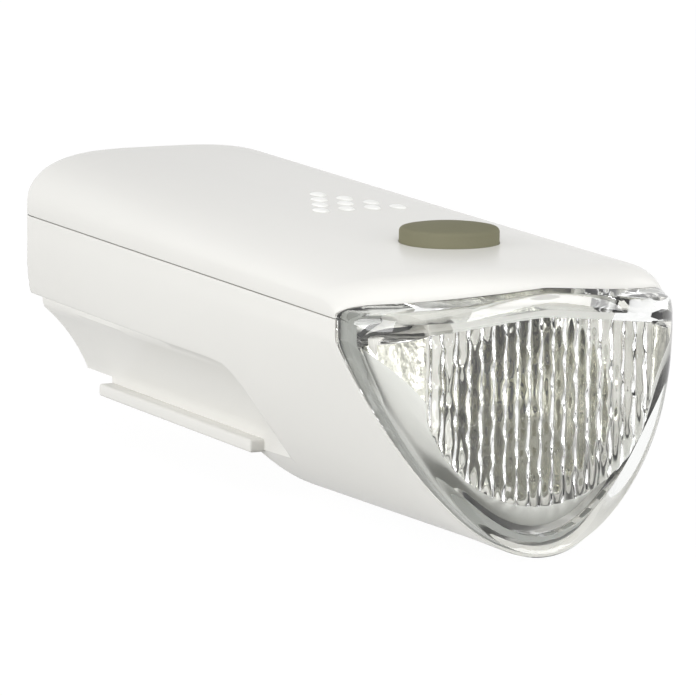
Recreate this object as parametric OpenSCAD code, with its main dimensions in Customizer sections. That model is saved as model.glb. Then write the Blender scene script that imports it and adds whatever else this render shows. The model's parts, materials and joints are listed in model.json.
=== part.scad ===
// Bicycle headlight: a bowed clear lens, a tapered body with a slide rail under its keel,
// and a cover that swings up on a pin at the rear to reach three AA cells.
// Built on the seam between cover and body: x across, y to the rear, z up from the seam.

/* [Housing] */
// Width at the lens corners
body_w = 45; // [44:0.5:47]
// Width at the rear end
rear_w = 39.4; // [39:0.2:42]
// Length behind the lens corners
body_l = 107; // [106:0.5:114]
// Wall of cover and body
wall = 1.8; // [1.6:0.1:2]
// Radius of the rear corners seen from above
rear_r = 6; // [5:0.5:7]
// Depth of the chin below the seam
chin_d = 28.8; // [28:0.2:31]
// Height of the wall between the seam and the bracket recess
side_h = 11.3; // [11:0.1:12]

/* [Cover] */
// Height above the seam at the lens corners
crown_front = 6.1; // [6:0.1:7]
// Height above the seam at the rear end
crown_rear = 8.7; // [8.4:0.1:10]
// Length over which the front edge rolls down to the lens
brow_roll = 5; // [4:0.5:6]
// Height of the front edge at its ends
brow_side = 1.5; // [1.2:0.1:1.8]
// Rise of the front edge from its ends to its middle
brow_arch = 2.5; // [2:0.1:2.6]
// Gap between cover and body, and around the parts of the cover
seam_gap = 0.15; // [0.1:0.05:0.2]
// Length of the tongue inside each side
tab_w = 10.5; // [8:0.5:12]
// How far the tongue reaches below the seam
tab_h = 3; // [2.4:0.2:3.6]
// Place of the tongue's middle
tab_y = 53.5; // [50:0.5:60]

/* [Hinge] */
// Radius of the hinge pin
pin_r = 0.6; // [0.5:0.05:0.65]
// Radial clearance between the pin and the cover's knuckle
pin_gap = 0.05; // [0.03:0.01:0.08]
// Radius of the knuckles
knuckle_r = 1.2; // [1.1:0.05:1.3]
// Length of the cover's knuckle
knuckle_l = 6; // [5:0.5:8]
// Length of each body knuckle
ear_l = 5; // [4:0.5:6]
// Distance from the rear end to the hinge axis
hinge_in = 0.7; // [0.6:0.05:0.8]

/* [Lens] */
// How far the housing's front edge bows out ahead of the lens corners
bow = 11.2; // [10.5:0.1:12]
// How far the lens reaches ahead of its corners
lens_reach = 12.4; // [12.2:0.1:13.5]
// How far the lens front sweeps back at its sides
lens_sweep = 10.3; // [9.5:0.1:10.6]
// Thickness of the front pane
pane = 1.8; // [1.6:0.1:2.2]
// How far the front edge of the lens is drawn in
lens_draft = 1.36; // [1.1:0.02:1.5]
// Thickness of the rim's wall, measured from the outline
rim = 3.7; // [3.6:0.1:4]
// Spacing of the flutes on the inside of the pane
flute_pitch = 2.2; // [2:0.1:2.6]
// Number of flutes
flute_n = 13; // [11:2:13]
// How far the tongue of the lens reaches into the housing
tongue = 3; // [2.6:0.2:3.4]

/* [Optics] */
// Focal length of the reflector
focal = 1.8; // [1.74:0.02:1.84]
// Height of the light's axis below the seam
axis_d = 11.2; // [11:0.1:11.4]
// Wall of the reflector
bowl_wall = 0.8; // [0.7:0.1:0.9]
// Place of the reflector's vertex
vertex_y = 12; // [11.8:0.1:12.2]
// Width of the board that carries the light emitter
led_board_w = 26; // [24:0.5:27]
// Thickness of that board
led_board_t = 1.6; // [1.2:0.1:1.8]
// Width of the heat sink
sink_w = 18; // [16:0.5:18.5]
// Length of the heat sink's fins
fin_l = 5.4; // [4.4:0.2:5.6]

/* [Switch and driver] */
// Diameter of the push button
button_d = 12.5; // [12:0.1:13]
// Height of the button above the cover
button_up = 2.1; // [1.8:0.1:2.4]
// Travel of the button
press = 1; // [0.9:0.05:1]
// Place of the button
button_y = 14; // [13.5:0.1:14.5]
// Width of the driver board
board_w = 26; // [25:0.5:27]
// Length of the driver board
board_l = 21; // [20.5:0.5:21.5]
// Thickness of the driver board
board_t = 1; // [0.8:0.1:1.2]
// Top of the driver board below the seam
board_d = 1.5; // [1.4:0.05:1.6]
// Side of the switch body
switch_w = 6; // [5.8:0.1:6.2]
// Height of the switch body
switch_h = 3.4; // [3.2:0.1:3.5]
// Height of the switch plunger above the switch body
plunger_up = 0.7; // [0.6:0.05:0.7]

/* [Cells] */
// Diameter of a cell
cell_d = 14.2; // [14:0.1:14.3]
// Length of a cell's case
cell_l = 49.2; // [48.5:0.1:49.4]
// Length of a cell's raised end
nib_l = 1.2; // [1:0.1:1.4]
// Place of the front face of the cell holder
holder_y = 33; // [32.8:0.1:33.4]
// Thickness of the holder's end plates
plate_t = 1.2; // [1:0.1:1.3]
// Thickness of the contact strips
strip_t = 0.4; // [0.3:0.05:0.5]
// Length of a contact spring
spring_l = 3.4; // [3:0.1:3.6]
// Radius of the spring wire
spring_wire = 0.35; // [0.3:0.05:0.4]
// Floor under the lower cell
floor_t = 1.5; // [1.3:0.1:1.6]

/* [Rail] */
// Width of the slide rail's flanges
rail_w = 28; // [27:0.5:29]
// Width of the neck above the flanges
neck_w = 24; // [23.6:0.2:25]
// Thickness of the flanges
flange_t = 1.7; // [1.5:0.1:2]
// Length of the flanges
rail_l = 49; // [46:0.5:50]
// Front end of the flanges
rail_y = 42; // [41.5:0.5:43]
// Depth of the rail's foot below the seam
foot_d = 23.7; // [23.4:0.1:24]

/* [Hidden] */
$fn = 48;
hw = body_w / 2;
corner_c = body_l - rear_r;
bow_pow = 2.24;
sweep_pow = 5.6;
side_flat = 2.6;
chin_pow = 2;
lens_gap = 0.25;
seat_up = 0.2;
seal_w = 0.9;
seal_h = 1;
hinge_y = body_l - hinge_in;
pin_l = knuckle_l + 2 * ear_l;
rail_mid = rail_y + rail_l / 2;
rail_end = rail_y + rail_l;
keel_end = rail_end + 9;
heel_up = 2.5;
tab_gap = 0.2;
tab_t = 1;
neck_drop = 9.7;
scoop_r = 10;
screw_r = 1;
head_r = 1.9;
head_h = 1;
lead_r = 0.6;

// Half the width at the seam, which narrows to the rear
function side_x(y) = hw - (body_w - rear_w) / 2 * max(y, 0) / body_l;
// The same with the rounded rear corners, drawn in by t
function plan_x(y, t) = y <= corner_c ? side_x(y) - t
    : side_x(corner_c) - rear_r + sqrt(max(0, pow(rear_r - t, 2) - pow(y - corner_c, 2)));
// The bowed line between housing and lens, and the front of the lens, seen from above
function bow_y(x) = -bow * (1 - pow(min(1, abs(x) / hw), bow_pow));
function front_y(x) = -lens_reach + lens_sweep * pow(abs(x) / hw, sweep_pow);
// The arched front edge of the cover, seen from the front
function brow_z(x) = brow_side + brow_arch * (1 - pow(min(1, abs(x) / hw), 1.2));
function crown(y) = crown_front + (crown_rear - crown_front) * y / body_l;
function mix(a, b, f) = a + (b - a) * min(1, max(0, f));
function sgn(v) = v < 0 ? -1 : 1;
function arc(v, p) = sgn(v) * pow(abs(v), p);

// Faces between rows of points that are all as long, closed round each row and capped at both ends
function tube_faces(rows, n) = concat(
    [for (r = [0 : rows - 2], i = [0 : n - 1]) each
        let (a = r * n + i, b = r * n + (i + 1) % n)
        [[a, b + n, b], [a, a + n, b + n]]],
    [[for (i = [0 : n - 1]) i], [for (i = [n - 1 : -1 : 0]) (rows - 1) * n + i]]);
// The same closed as a ring, with the last row joined to the first
function ring_faces(rows, n) = [for (r = [0 : rows - 1], i = [0 : n - 1]) each
    let (a = r * n + i, b = r * n + (i + 1) % n, c = (r + 1) % rows * n + i, d = (r + 1) % rows * n + (i + 1) % n)
    [[a, d, b], [a, c, d]]];
module skin(rows) polyhedron([for (r = rows) each r], tube_faces(len(rows), len(rows[0])), 8);

// Section of the body at y, drawn in by t: full width to side_flat, then a rounded keel down to the chin
function hull_n(y) = mix(1.12, 1.65, y / 60);
function chin(y) = mix(chin_d, chin_d + 0.6, y / 45);
function hull_z(x, y) = -side_flat
    - (chin(y) - side_flat) * pow(max(0, 1 - pow(x / side_x(y), chin_pow)), 1 / hull_n(y));
function body_row(y, t, top) = concat(
    [[side_x(y) - t, y, top]],
    [for (a = [0 : 7.5 : 180]) [(side_x(y) - t) * arc(cos(a), 2 / chin_pow), y,
        -side_flat - (chin(y) - t - side_flat) * pow(sin(a), 2 / hull_n(y))]],
    [[t - side_x(y), y, top]]);
module body_skin(ys, t, top) skin([for (y = ys) body_row(y, t, top)]);

// Outline of the housing from above, drawn in by t
module plan(t) {
    xc = side_x(corner_c) - rear_r;
    polygon([[-hw + t, -20], [-hw + t, 0], [t - side_x(corner_c), corner_c],
        [side_x(corner_c) - t, corner_c], [hw - t, 0], [hw - t, -20]]);
    for (s = [-1, 1]) translate([s * xc, corner_c]) circle(rear_r - t);
    translate([-xc, corner_c - rear_r]) square([2 * xc, 2 * rear_r - t]);
}
module plan_block(t, z0, z1) translate([0, 0, z0]) linear_extrude(z1 - z0) plan(t);
// Everything ahead of the bowed line, moved by dy
module ahead(dy) translate([0, dy, -50]) linear_extrude(80)
    polygon(concat([[-40, -40], [-40, 0]], [for (i = [-12 : 12]) [hw * i / 12, bow_y(hw * i / 12)]],
        [[40, 0], [40, -40]]));
// A shape drawn in y and z, extruded across the light
module across(w) rotate([90, 0, 90]) translate([0, 0, -w / 2]) linear_extrude(w) children();
// A shape drawn in x and z, extruded to the rear from y0 to y1
module along(y0, y1) translate([0, y1, 0]) rotate([90, 0, 0]) linear_extrude(y1 - y0) children();
module rod(x, y0, y1, z, r) translate([x, y0, z]) rotate([-90, 0, 0]) cylinder(y1 - y0, r, r);
module pin(x0, x1, y, z, r) translate([x0, y, z]) rotate([0, 90, 0]) cylinder(x1 - x0, r, r);
module block(x0, x1, y0, y1, z0, z1) translate([x0, y0, z0]) cube([x1 - x0, y1 - y0, z1 - z0]);
// A wire swept along points, square to x
function wire_ring(p, t, r) = let (u = [1, 0, 0], v = cross(t / norm(t), u))
    [for (a = [0 : 45 : 315]) p + r * (cos(a) * u + sin(a) * v)];
function wire_rows(p, r) = let (n = len(p))
    [for (i = [0 : n - 1]) wire_ring(p[i], p[min(n - 1, i + 1)] - p[max(0, i - 1)], r)];
// The whole light stands on the middle of the rail's foot
module placed() translate([0, -rail_mid, foot_d]) children();

// Side of the keel from the wall's lower edge to the neck: a shallow hollow curve
keel_top = [neck_w / 2 + 7.3, -side_h];
keel_mid = [neck_w / 2 + 2.2, -side_h - 3.8];
keel_low = [neck_w / 2, -side_h - neck_drop];
function keel_pt(f) = (1 - f) * (1 - f) * keel_top + 2 * f * (1 - f) * keel_mid + f * f * keel_low;
module recess_half() polygon(concat([[60, -side_h]], [for (i = [0 : 6]) keel_pt(i / 6)],
    [[neck_w / 2, -60], [60, -60]]));
// Room for the cells: a trough inside the keel
trough_w = neck_w - 4;
module trough() polygon([for (p = [[-1, 0], [1, 0]]) each p[0] < 0
    ? [[-trough_w / 2, cell_floor], [-trough_w / 2, keel_low[1] + 0.6], [-keel_mid[0] + 1.6, keel_mid[1] - 0.1],
        [-keel_top[0] + 3, -side_h + 0.8], [-keel_top[0] + 2.2, -side_h + wall]]
    : [[keel_top[0] - 2.2, -side_h + wall], [keel_top[0] - 3, -side_h + 0.8], [keel_mid[0] - 1.6, keel_mid[1] - 0.1],
        [trough_w / 2, keel_low[1] + 0.6], [trough_w / 2, cell_floor]]]);

// Cells: one in the keel and two side by side above it
cell_r = cell_d / 2;
cell_gap = 0.1;
cell_floor = -foot_d + floor_t;
upper_x = cell_r + cell_gap;
lower_z = cell_floor + cell_gap + cell_r;
upper_z = lower_z + sqrt(pow(cell_d + cell_gap, 2) - pow(upper_x, 2));
cell_y = holder_y + plate_t + strip_t;
spring_y = cell_y + nib_l + cell_l;
back_y = spring_y + spring_l;
holder_end = back_y + strip_t + plate_t;
cell_places = [[-upper_x, upper_z], [upper_x, upper_z], [0, lower_z]];

// Optics and driver
bowl_front = -4;
bowl_end = 10.4;
bowl_l = 24;
// The focal length is given for a housing 45 mm wide, and the bowl widens with the housing
bowl_focal = focal * pow(body_w / 45, 2);
bowl_r = sqrt(4 * bowl_focal * (vertex_y + bowl_wall - bowl_front)) + bowl_wall * 0.6;
bezel_t = 1.2;
bezel_gap = 0.5;
bezel_link = 24;
led_y = bowl_end + 0.1;
pad_t = 0.5;
sink_base = 2;
sink_y = led_y + led_board_t + pad_t;
web_y = sink_y + sink_base + fin_l;
web_t = 1.6;
led_board_h = 12;
deck_t = 1.2;
post_h = 1.2;
board_z = -board_d - board_t;
deck_z = board_z - post_h - deck_t;
deck_w = 30;
deck_y = led_y + 0.3;
deck_end = holder_y - 0.4;
shelf_z = -axis_d + bowl_r + 0.15;
shelf_t = 1.4;
leg_w = 1.7;
board_y = deck_y + 0.2;
deck_edge = 2;
boss_x = deck_w / 2 - deck_edge;
boss_y = 22.5;
boss_r = 2.6;
boss_foot = -hull_z(boss_x + boss_r, boss_y) - 0.3 * wall;
plunger_top = -board_d + switch_h + plunger_up;
stem_gap = 0.7 * press + 0.05;
roof_z = crown(button_y) - wall;
flange_top = roof_z - 0.35;
flange_h = flange_top - plunger_top - stem_gap;
flange_r = button_d / 2 + 1.3;
ring_top = flange_top - flange_h - press - 0.2;
shelf_end = button_y - flange_r - 1.8;
ring_h = 1.1;
ring_rim = 1;
ring_lip = 2;
ear_x = flange_r + 3.4;
ear_r = 2;
ear_hole = 0.85;
ear_bar = 3;
ring_screw_l = 1.6;
ring_screw_r = 0.65;
ring_head_r = 1.5;
ring_head_h = 0.8;

// Cover: rows from the front edge to the rear, each over the crown from side to side
cover_flat = 1.7;
function cover_n(y) = mix(2.3, 3.8, y / body_l);
roll_steps = [0, 0.04, 0.15, 0.33, 0.6, 1];
cover_rows = concat([for (q = roll_steps) [q * brow_roll, 1]],
    [[10, 0.85], [17, 0.6], [26, 0.35], [36, 0.12], [46, 0], [62, 0], [78, 0], [92, 0]]);
function cover_row(y0, f, t) = concat([cover_pt(0, y0, f, t, 0)],
    [for (a = [0 : 180 / 26 : 180.1]) cover_pt(a, y0, f, t, 1)], [cover_pt(180, y0, f, t, 0)]);
function cover_pt(a, y0, f, t, up) = let (
    w = plan_x(y0, t), x = w * arc(cos(a), 2 / cover_n(y0)),
    y = y0 + f * (bow_y(x) + t) + (1 - f) * 0,
    rear = max(0, (y0 - corner_c + rear_r) / (2 * rear_r - t)),
    top = crown(y) - t, h = cover_flat + (top - cover_flat) * sqrt(max(0.05, 1 - pow(rear, 8))),
    z = up * (cover_flat + (h - cover_flat) * pow(max(0, sin(a)), 1)), b = brow_z(x),
    q = min(1, y0 / brow_roll), roll = f < 1 ? 1 : sqrt(1 - (1 - q) * (1 - q)))
    [x, y, z > b ? b + (z - b) * roll : z];
function rear_rows(t) = [for (a = [0 : 15 : 90]) corner_c + (rear_r - t) * sin(a)];
function cover_grid(t) = concat([for (r = cover_rows) cover_row(r[0], r[1], t)],
    [for (y = rear_rows(t)) cover_row(y, 0, t)]);
// One closed shell: an outer and an inner skin joined along their open edges
module shell(outer, inner) {
    rows = len(outer);
    n = len(outer[0]);
    m = rows * n;
    function quad(a, b, c, d) = [[a, b, c], [a, c, d]];
    skins = [for (r = [0 : rows - 2], i = [0 : n - 2]) each let (a = r * n + i) concat(
        quad(a, a + 1, a + n + 1, a + n), quad(m + a, m + a + n, m + a + n + 1, m + a + 1))];
    front = [for (i = [0 : n - 2]) each quad(i, m + i, m + i + 1, i + 1)];
    sides = [for (r = [0 : rows - 2]) each let (a = r * n, b = a + n - 1) concat(
        quad(a, a + n, m + a + n, m + a), quad(b, m + b, m + b + n, b + n))];
    e = (rows - 1) * n;
    caps = [[for (i = [0 : n - 1]) e + i], [for (i = [n - 1 : -1 : 0]) m + e + i],
        [e, m + e, m + e + n - 1, e + n - 1]];
    polyhedron([for (r = concat(outer, inner)) each r], concat(skins, front, sides, caps), 8);
}

// Lens outline drawn in by t, seen from the front, at the height of the bowed line moved by dy
lens_steps = 24;
function lens_bottom(x, w, t) = -side_flat - (chin_d - t - side_flat)
    * pow(max(0, 1 - pow(min(1, abs(x) / w), chin_pow)), 1 / hull_n(0));
function lens_loop(t, f, dy) = let (w = hw - t) concat(
    [for (i = [0 : lens_steps]) let (x = -w * cos(180 * i / lens_steps))
        [x, mix(bow_y(x) + dy, front_y(x), f), brow_z(x) - t + seat_up]],
    [for (i = [lens_steps : -1 : 0]) let (x = -w * cos(180 * i / lens_steps))
        [x, mix(bow_y(x) + dy, front_y(x), f), lens_bottom(x, w, t)]]);
// A solid through such loops, its two ends closed by upright strips
module lens_solid(loops) {
    n = 2 * (lens_steps + 1);
    e = (len(loops) - 1) * n;
    sides = [for (r = [0 : len(loops) - 2], i = [0 : n - 1]) each
        let (a = r * n + i, b = r * n + (i + 1) % n) [[a, b, b + n], [a, b + n, a + n]]];
    ends = [for (i = [0 : lens_steps - 1]) each let (j = n - 1 - i)
        [[i, j - 1, i + 1], [i, j, j - 1], [e + i, e + i + 1, e + j - 1], [e + i, e + j - 1, e + j]]];
    polyhedron([for (l = loops) each l], concat(sides, ends), 8);
}
// A ring through four loops
module lens_ring(loops) polyhedron([for (l = loops) each l], ring_faces(4, 2 * (lens_steps + 1)), 8);

module lower_body() color("whitesmoke") placed() {
    difference() {
        union() {
            difference() {
                intersection() {
                    body_skin([-16, 0, 15, 30, 45, 60, body_l + 4], 0, 0);
                    plan_block(0, -60, 0);
                }
                bracket_recess();
                keel_underside();
                body_skin([-20, 0, 15, holder_y - 2.5], wall, 4);
                bay();
                cell_room();
            }
            for (s = [-1, 1]) deck_boss(s);
            for (s = [0, 1]) mirror([s, 0])
                block(neck_w / 2 - 1, rail_w / 2, rail_y, rail_end, -foot_d, -foot_d + flange_t);
            block(-neck_w / 2, neck_w / 2, rail_y, rail_end, -foot_d, cell_floor);
            for (s = [-1, 1]) pin(s < 0 ? -knuckle_l / 2 - ear_l - seam_gap : knuckle_l / 2 + seam_gap,
                s < 0 ? -knuckle_l / 2 - seam_gap : knuckle_l / 2 + ear_l + seam_gap, hinge_y, 0, knuckle_r);
        }
        ahead(0);
        seal_path(0, 1);
        pin(-knuckle_l / 2 - seam_gap, knuckle_l / 2 + seam_gap, hinge_y, 0, knuckle_r + seam_gap);
        pin(-pin_l / 2 - 0.2, pin_l / 2 + 0.2, hinge_y, 0, pin_r);
        rear_groove(knuckle_l / 2 + seam_gap, knuckle_l / 2 + ear_l + seam_gap);
    }
}
// The bracket's jaws slide along both sides of the keel, in a recess with a rounded front end
module bracket_recess() intersection() {
    along(0, body_l + 20) for (s = [0, 1]) mirror([s, 0]) recess_half();
    across(120) {
        translate([rail_y + 1.5, -side_h - 9.2]) circle(scoop_r);
        translate([rail_y + 1.5, -60]) square([body_l, 70]);
    }
}
// Below the keel: a step behind the chin, the rail's foot, and the raised heel behind it
module keel_underside() across(120) polygon([[rail_y - 1.2, -60], [rail_y - 0.6, -chin_d - 1],
    [rail_y + 2.4, -foot_d], [rail_end, -foot_d], [rail_end, -foot_d + heel_up], [keel_end - 1, -foot_d + heel_up],
    [keel_end + 1.5, -side_h], [body_l + 20, -side_h], [body_l + 20, -60]]);
// Open bay above the keel
module bay() intersection() {
    body_skin([holder_y - 3, 45, 60, body_l], wall, 4);
    plan_block(wall, -side_h + wall, 4);
}
module cell_room() along(holder_y - 3, holder_end + 0.1) trough();
// Posts that carry the optics frame, standing on the flank of the body
module deck_boss(s) difference() {
    translate([s * boss_x, boss_y, -boss_foot]) cylinder(deck_z + boss_foot, boss_r, boss_r);
    translate([s * boss_x, boss_y, deck_z - 7]) cylinder(10, screw_r, screw_r);
}
// A slot round the body's rim holds the seal, from the lens to the hinge
module seal_path(gap, up) difference() {
    plan_block((wall - seal_w) / 2 + gap, -seal_h, up * 4 - (1 - up) * seam_gap);
    plan_block((wall + seal_w) / 2 - gap, -seal_h - 1, 5);
    block(-40, 40, -40, 3 + gap, -10, 10);
    block(-40, 40, corner_c - gap, body_l + 20, -10, 10);
}
// A tongue of the cover, between two distances from the outline
module tab(out, in, z0, z1) translate([0, 0, z0]) linear_extrude(z1 - z0)
    polygon([for (p = [[-1, out], [1, out], [1, in], [-1, in]])
        let (y = tab_y + p[0] * tab_w / 2) [side_x(y) - p[1], y]]);
// Bevels on both sides of the seam let the cover swing; the knuckles between x0 and x1 stay whole
module rear_groove(x0, x1) difference() {
    across(120) polygon([[hinge_y, 0], [hinge_y + 4, 4], [hinge_y + 4, -4]]);
    for (s = [0, 1]) mirror([s, 0]) pin(x0, x1, hinge_y, 0, knuckle_r);
}

module upper_cover() color("white") placed() difference() {
    union() {
        difference() {
            translate([0, 0, seam_gap]) shell(cover_grid(0), cover_grid(wall));
            rear_groove(0, knuckle_l / 2);
        }
        for (s = [0, 1]) mirror([s, 0]) {
            tab(wall + tab_gap, wall + tab_gap + tab_t, -tab_h, cover_flat);
            tab(wall - 0.6, wall + tab_gap + tab_t, seam_gap + 0.3, cover_flat);
        }
        for (s = [-1, 1]) translate([s * ear_x, button_y, ring_top])
            cylinder(roof_z - ring_top + wall / 3, ear_r, ear_r);
        pin(-knuckle_l / 2, knuckle_l / 2, hinge_y, 0, knuckle_r);
        block(-knuckle_l / 2, knuckle_l / 2, hinge_y - wall / 2 - 0.6, hinge_y, 0.2, 2);
    }
    translate([0, button_y, 0]) cylinder(20, button_d / 2 + 0.2, button_d / 2 + 0.2);
    for (s = [-1, 1]) translate([s * ear_x, button_y, ring_top - 1]) cylinder(3, 0.7, 0.7);
    for (s = [0, 1]) mirror([s, 0])
        pin(knuckle_l / 2, knuckle_l / 2 + ear_l + 2 * seam_gap, hinge_y, 0, knuckle_r + seam_gap);
    pin(-knuckle_l / 2 - 1, knuckle_l / 2 + 1, hinge_y, 0, pin_r + pin_gap);
}
module cover_seal() color("dimgray") placed() seal_path(0.05, 0);
module hinge_pin() color("silver") placed()
    pin(-pin_l / 2, pin_l / 2, hinge_y, 0, pin_r);

module lens() color("azure", 0.4) placed() {
    difference() {
        lens_solid([lens_loop(wall + seal_w, 0, tongue), lens_loop(wall + seal_w, 0, -lens_gap),
            lens_loop(0.05, 0, -lens_gap), lens_loop(0.3, 0.4, -lens_gap), lens_loop(0.7, 0.8, -lens_gap),
            lens_loop(lens_draft, 1, -lens_gap)]);
        translate([0, pane, 0]) lens_solid([lens_loop(rim, 0, tongue + 4), lens_loop(rim, 1, 0)]);
    }
    for (i = [0 : flute_n - 1]) flute((i - (flute_n - 1) / 2) * flute_pitch);
}
// One upright flute on the inside of the pane
module flute(x) {
    low = lens_bottom(x, hw - rim, rim) + 0.4;
    top = brow_z(x) - rim - 1;
    translate([x, front_y(x) + pane, low]) cylinder(top - low, flute_pitch * 0.46, flute_pitch * 0.46);
}
module lens_gasket() color("gray") placed() difference() {
    lens_ring([lens_loop(wall + 0.05, 0, 0.4), lens_loop(wall + 0.05, 0, tongue - 0.8),
        lens_loop(wall + seal_w - 0.05, 0, tongue - 0.8), lens_loop(wall + seal_w - 0.05, 0, 0.4)]);
    block(-40, 40, -40, 40, -0.3, 20);
}

// The bowl: a deep paraboloid, open at the front and cut off behind the emitter
module bowl(grow) translate([0, vertex_y + grow, -axis_d]) rotate([90, 0, 0]) rotate_extrude()
    polygon(concat([[0, 0]], [for (f = [0.02, 0.04, 0.08, 0.14, 0.2, 0.3, 0.4, 0.5, 0.63, 0.8, 1])
        [sqrt(4 * bowl_focal * bowl_l * f) + grow * 0.6, bowl_l * f]], [[0, bowl_l]]));
module reflector() color("silver") placed() difference() {
    bowl(bowl_wall);
    bowl(0);
    block(-40, 40, -60, bowl_front, -60, 20);
    block(-40, 40, bowl_end, 60, -60, 20);
}
// A deck on two posts carries the driver board, a web behind it the heat sink, a shelf on two legs
// closes the gap over the bowl, and a bezel fills the space round the bowl's mouth
module optics_frame() color("white") placed() {
    difference() {
        block(-deck_w / 2, deck_w / 2, deck_y, deck_end, deck_z, deck_z + deck_t);
        for (s = [-1, 1]) translate([s * boss_x, boss_y, deck_z - 1]) cylinder(6, screw_r + 0.15, screw_r + 0.15);
        for (s = [-1, 1]) lead_slot(s);
    }
    for (s = [-1, 1], y = [board_y + 5.5, board_y + board_l - 2]) difference() {
        translate([s * (board_w / 2 - 2), y, deck_z + deck_t / 2]) cylinder(post_h + deck_t / 2, 1.5, 1.5);
        translate([s * (board_w / 2 - 2), y, deck_z + deck_t]) cylinder(4, 0.6, 0.6);
    }
    bezel();
    block(-sink_w / 2 - 1, sink_w / 2 + 1, web_y, web_y + web_t, -axis_d - led_board_h / 2 - 1, deck_z + 0.1);
    difference() {
        block(-deck_w / 2, deck_w / 2, -bow, shelf_end, shelf_z, shelf_z + shelf_t);
        ahead(tongue + 0.4);
    }
    for (s = [0, 1]) mirror([s, 0]) {
        block(deck_w / 2 - leg_w, deck_w / 2, shelf_end - 1, deck_y + leg_w, shelf_z, shelf_z + shelf_t);
        block(deck_w / 2 - leg_w, deck_w / 2, deck_y, deck_y + leg_w, deck_z, shelf_z + shelf_t);
    }
}
module bezel() difference() {
    union() {
        along(bowl_front, bowl_front + bezel_t)
            polygon([for (p = lens_loop(rim + bezel_gap, 0, 0)) [p[0], p[2]]]);
        block(-bezel_link / 2, bezel_link / 2, bowl_front, bowl_front + bezel_t, -axis_d, shelf_z + shelf_t / 2);
    }
    rod(0, bowl_front - 1, bowl_front + bezel_t + 1, -axis_d, bowl_r + 0.05);
}
module lead_slot(s) block(s * lead_x - 1, s * lead_x + 1, led_y, sink_y + 2.2, deck_z - 1, deck_z + deck_t + 1);
module screw(z, length, r, hr, hh) translate([0, 0, z]) {
    cylinder(hh, hr, hr);
    translate([0, 0, -length]) cylinder(length + hh / 2, r, r);
}
frame_screw_l = 6;
module frame_screws() color("gray") placed() for (s = [-1, 1]) difference() {
    translate([s * boss_x, boss_y, 0]) screw(deck_z + deck_t, frame_screw_l, screw_r - 0.05, head_r, head_h);
    translate([s * boss_x, boss_y, deck_z + deck_t + head_h]) cube([head_r / 4, 1.3 * head_r, 1.2 * head_h], center = true);
}

lead_x = led_board_w / 2 - 2.2;
module led_board() color("whitesmoke") placed()
    block(-led_board_w / 2, led_board_w / 2, led_y, led_y + led_board_t,
        -axis_d - led_board_h / 2, -axis_d + led_board_h / 2);
module led_emitter() color("khaki") placed() {
    block(-1.75, 1.75, led_y - 0.8, led_y, -axis_d - 1.75, -axis_d + 1.75);
    intersection() {
        translate([0, led_y - 0.7, -axis_d]) sphere(1.5);
        block(-4, 4, led_y - 4, led_y - 0.7, -40, 0);
    }
}
module thermal_pad() color("lightblue") placed()
    block(-sink_w / 2, sink_w / 2, led_y + led_board_t, sink_y, -axis_d - led_board_h / 2, -axis_d + led_board_h / 2);
module heat_sink() color("darkgray") placed() {
    block(-sink_w / 2, sink_w / 2, sink_y, sink_y + sink_base, -axis_d - led_board_h / 2, -axis_d + led_board_h / 2);
    for (i = [0 : 4]) let (x = (i - 2) * (sink_w - 1.4) / 4)
        block(x - 0.7, x + 0.7, sink_y + sink_base / 2, web_y, -axis_d - led_board_h / 2, -axis_d + led_board_h / 2);
}
module driver_board() color("darkgreen") placed() difference() {
    block(-board_w / 2, board_w / 2, board_y, board_y + board_l, board_z, board_z + board_t);
    for (s = [-1, 1], y = [board_y + 5.5, board_y + board_l - 2])
        translate([s * (board_w / 2 - 2), y, board_z - 1]) cylinder(4, 0.8, 0.8);
}
module board_screws() color("gray") placed() for (s = [-1, 1], y = [board_y + 5.5, board_y + board_l - 2])
    translate([s * (board_w / 2 - 2), y, 0]) screw(-board_d, board_t + post_h - 0.2, 0.55, 1.3, 0.8);
module inductor() color("black") placed() translate([-5, board_y + board_l - 5.5, -board_d]) {
    cylinder(0.8, 3.4, 3.4);
    cylinder(4.4, 2.2, 2.2);
    translate([0, 0, 3.6]) cylinder(0.8, 3.4, 3.4);
}
module driver_chip() color("black") placed() {
    block(2.5, 7.5, board_y + board_l - 8, board_y + board_l - 4, -board_d + 0.2, -board_d + 1.7);
    for (i = [0 : 3], s = [0, 1]) let (x = 3.1 + i * 1.27)
        block(x - 0.2, x + 0.2, board_y + board_l - (s < 1 ? 9 : 4.2), board_y + board_l - (s < 1 ? 7.8 : 3),
            -board_d, -board_d + 0.5);
}
can_r = 1.9;
can_h = 4;
can_x = 9.4;
can_y = 11;
module capacitors() color("steelblue") placed() for (s = [-1, 1])
    translate([s * can_x, board_y + can_y, -board_d]) cylinder(can_h, can_r, can_r);
module tact_switch() color("dimgray") placed() difference() {
    translate([0, button_y, -board_d + switch_h / 2]) cube([switch_w, switch_w, switch_h], center = true);
    translate([0, button_y, -board_d + switch_h - 1.2]) cylinder(4, 1.8, 1.8);
}
module switch_plunger() color("black") placed()
    translate([0, button_y, plunger_top - plunger_up - 0.6]) cylinder(plunger_up + 0.6, 1.7, 1.7);
module button() color("darkkhaki") placed() translate([0, button_y, 0]) {
    r = button_d / 2;
    rotate_extrude() polygon([[0, flange_top - flange_h], [flange_r, flange_top - flange_h], [flange_r, flange_top],
        [r, flange_top], [r, crown(button_y) + button_up - 0.9], [r - 0.25, crown(button_y) + button_up - 0.4],
        [r - 0.8, crown(button_y) + button_up - 0.1], [r - 2, crown(button_y) + button_up],
        [0, crown(button_y) + button_up]]);
}
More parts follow.
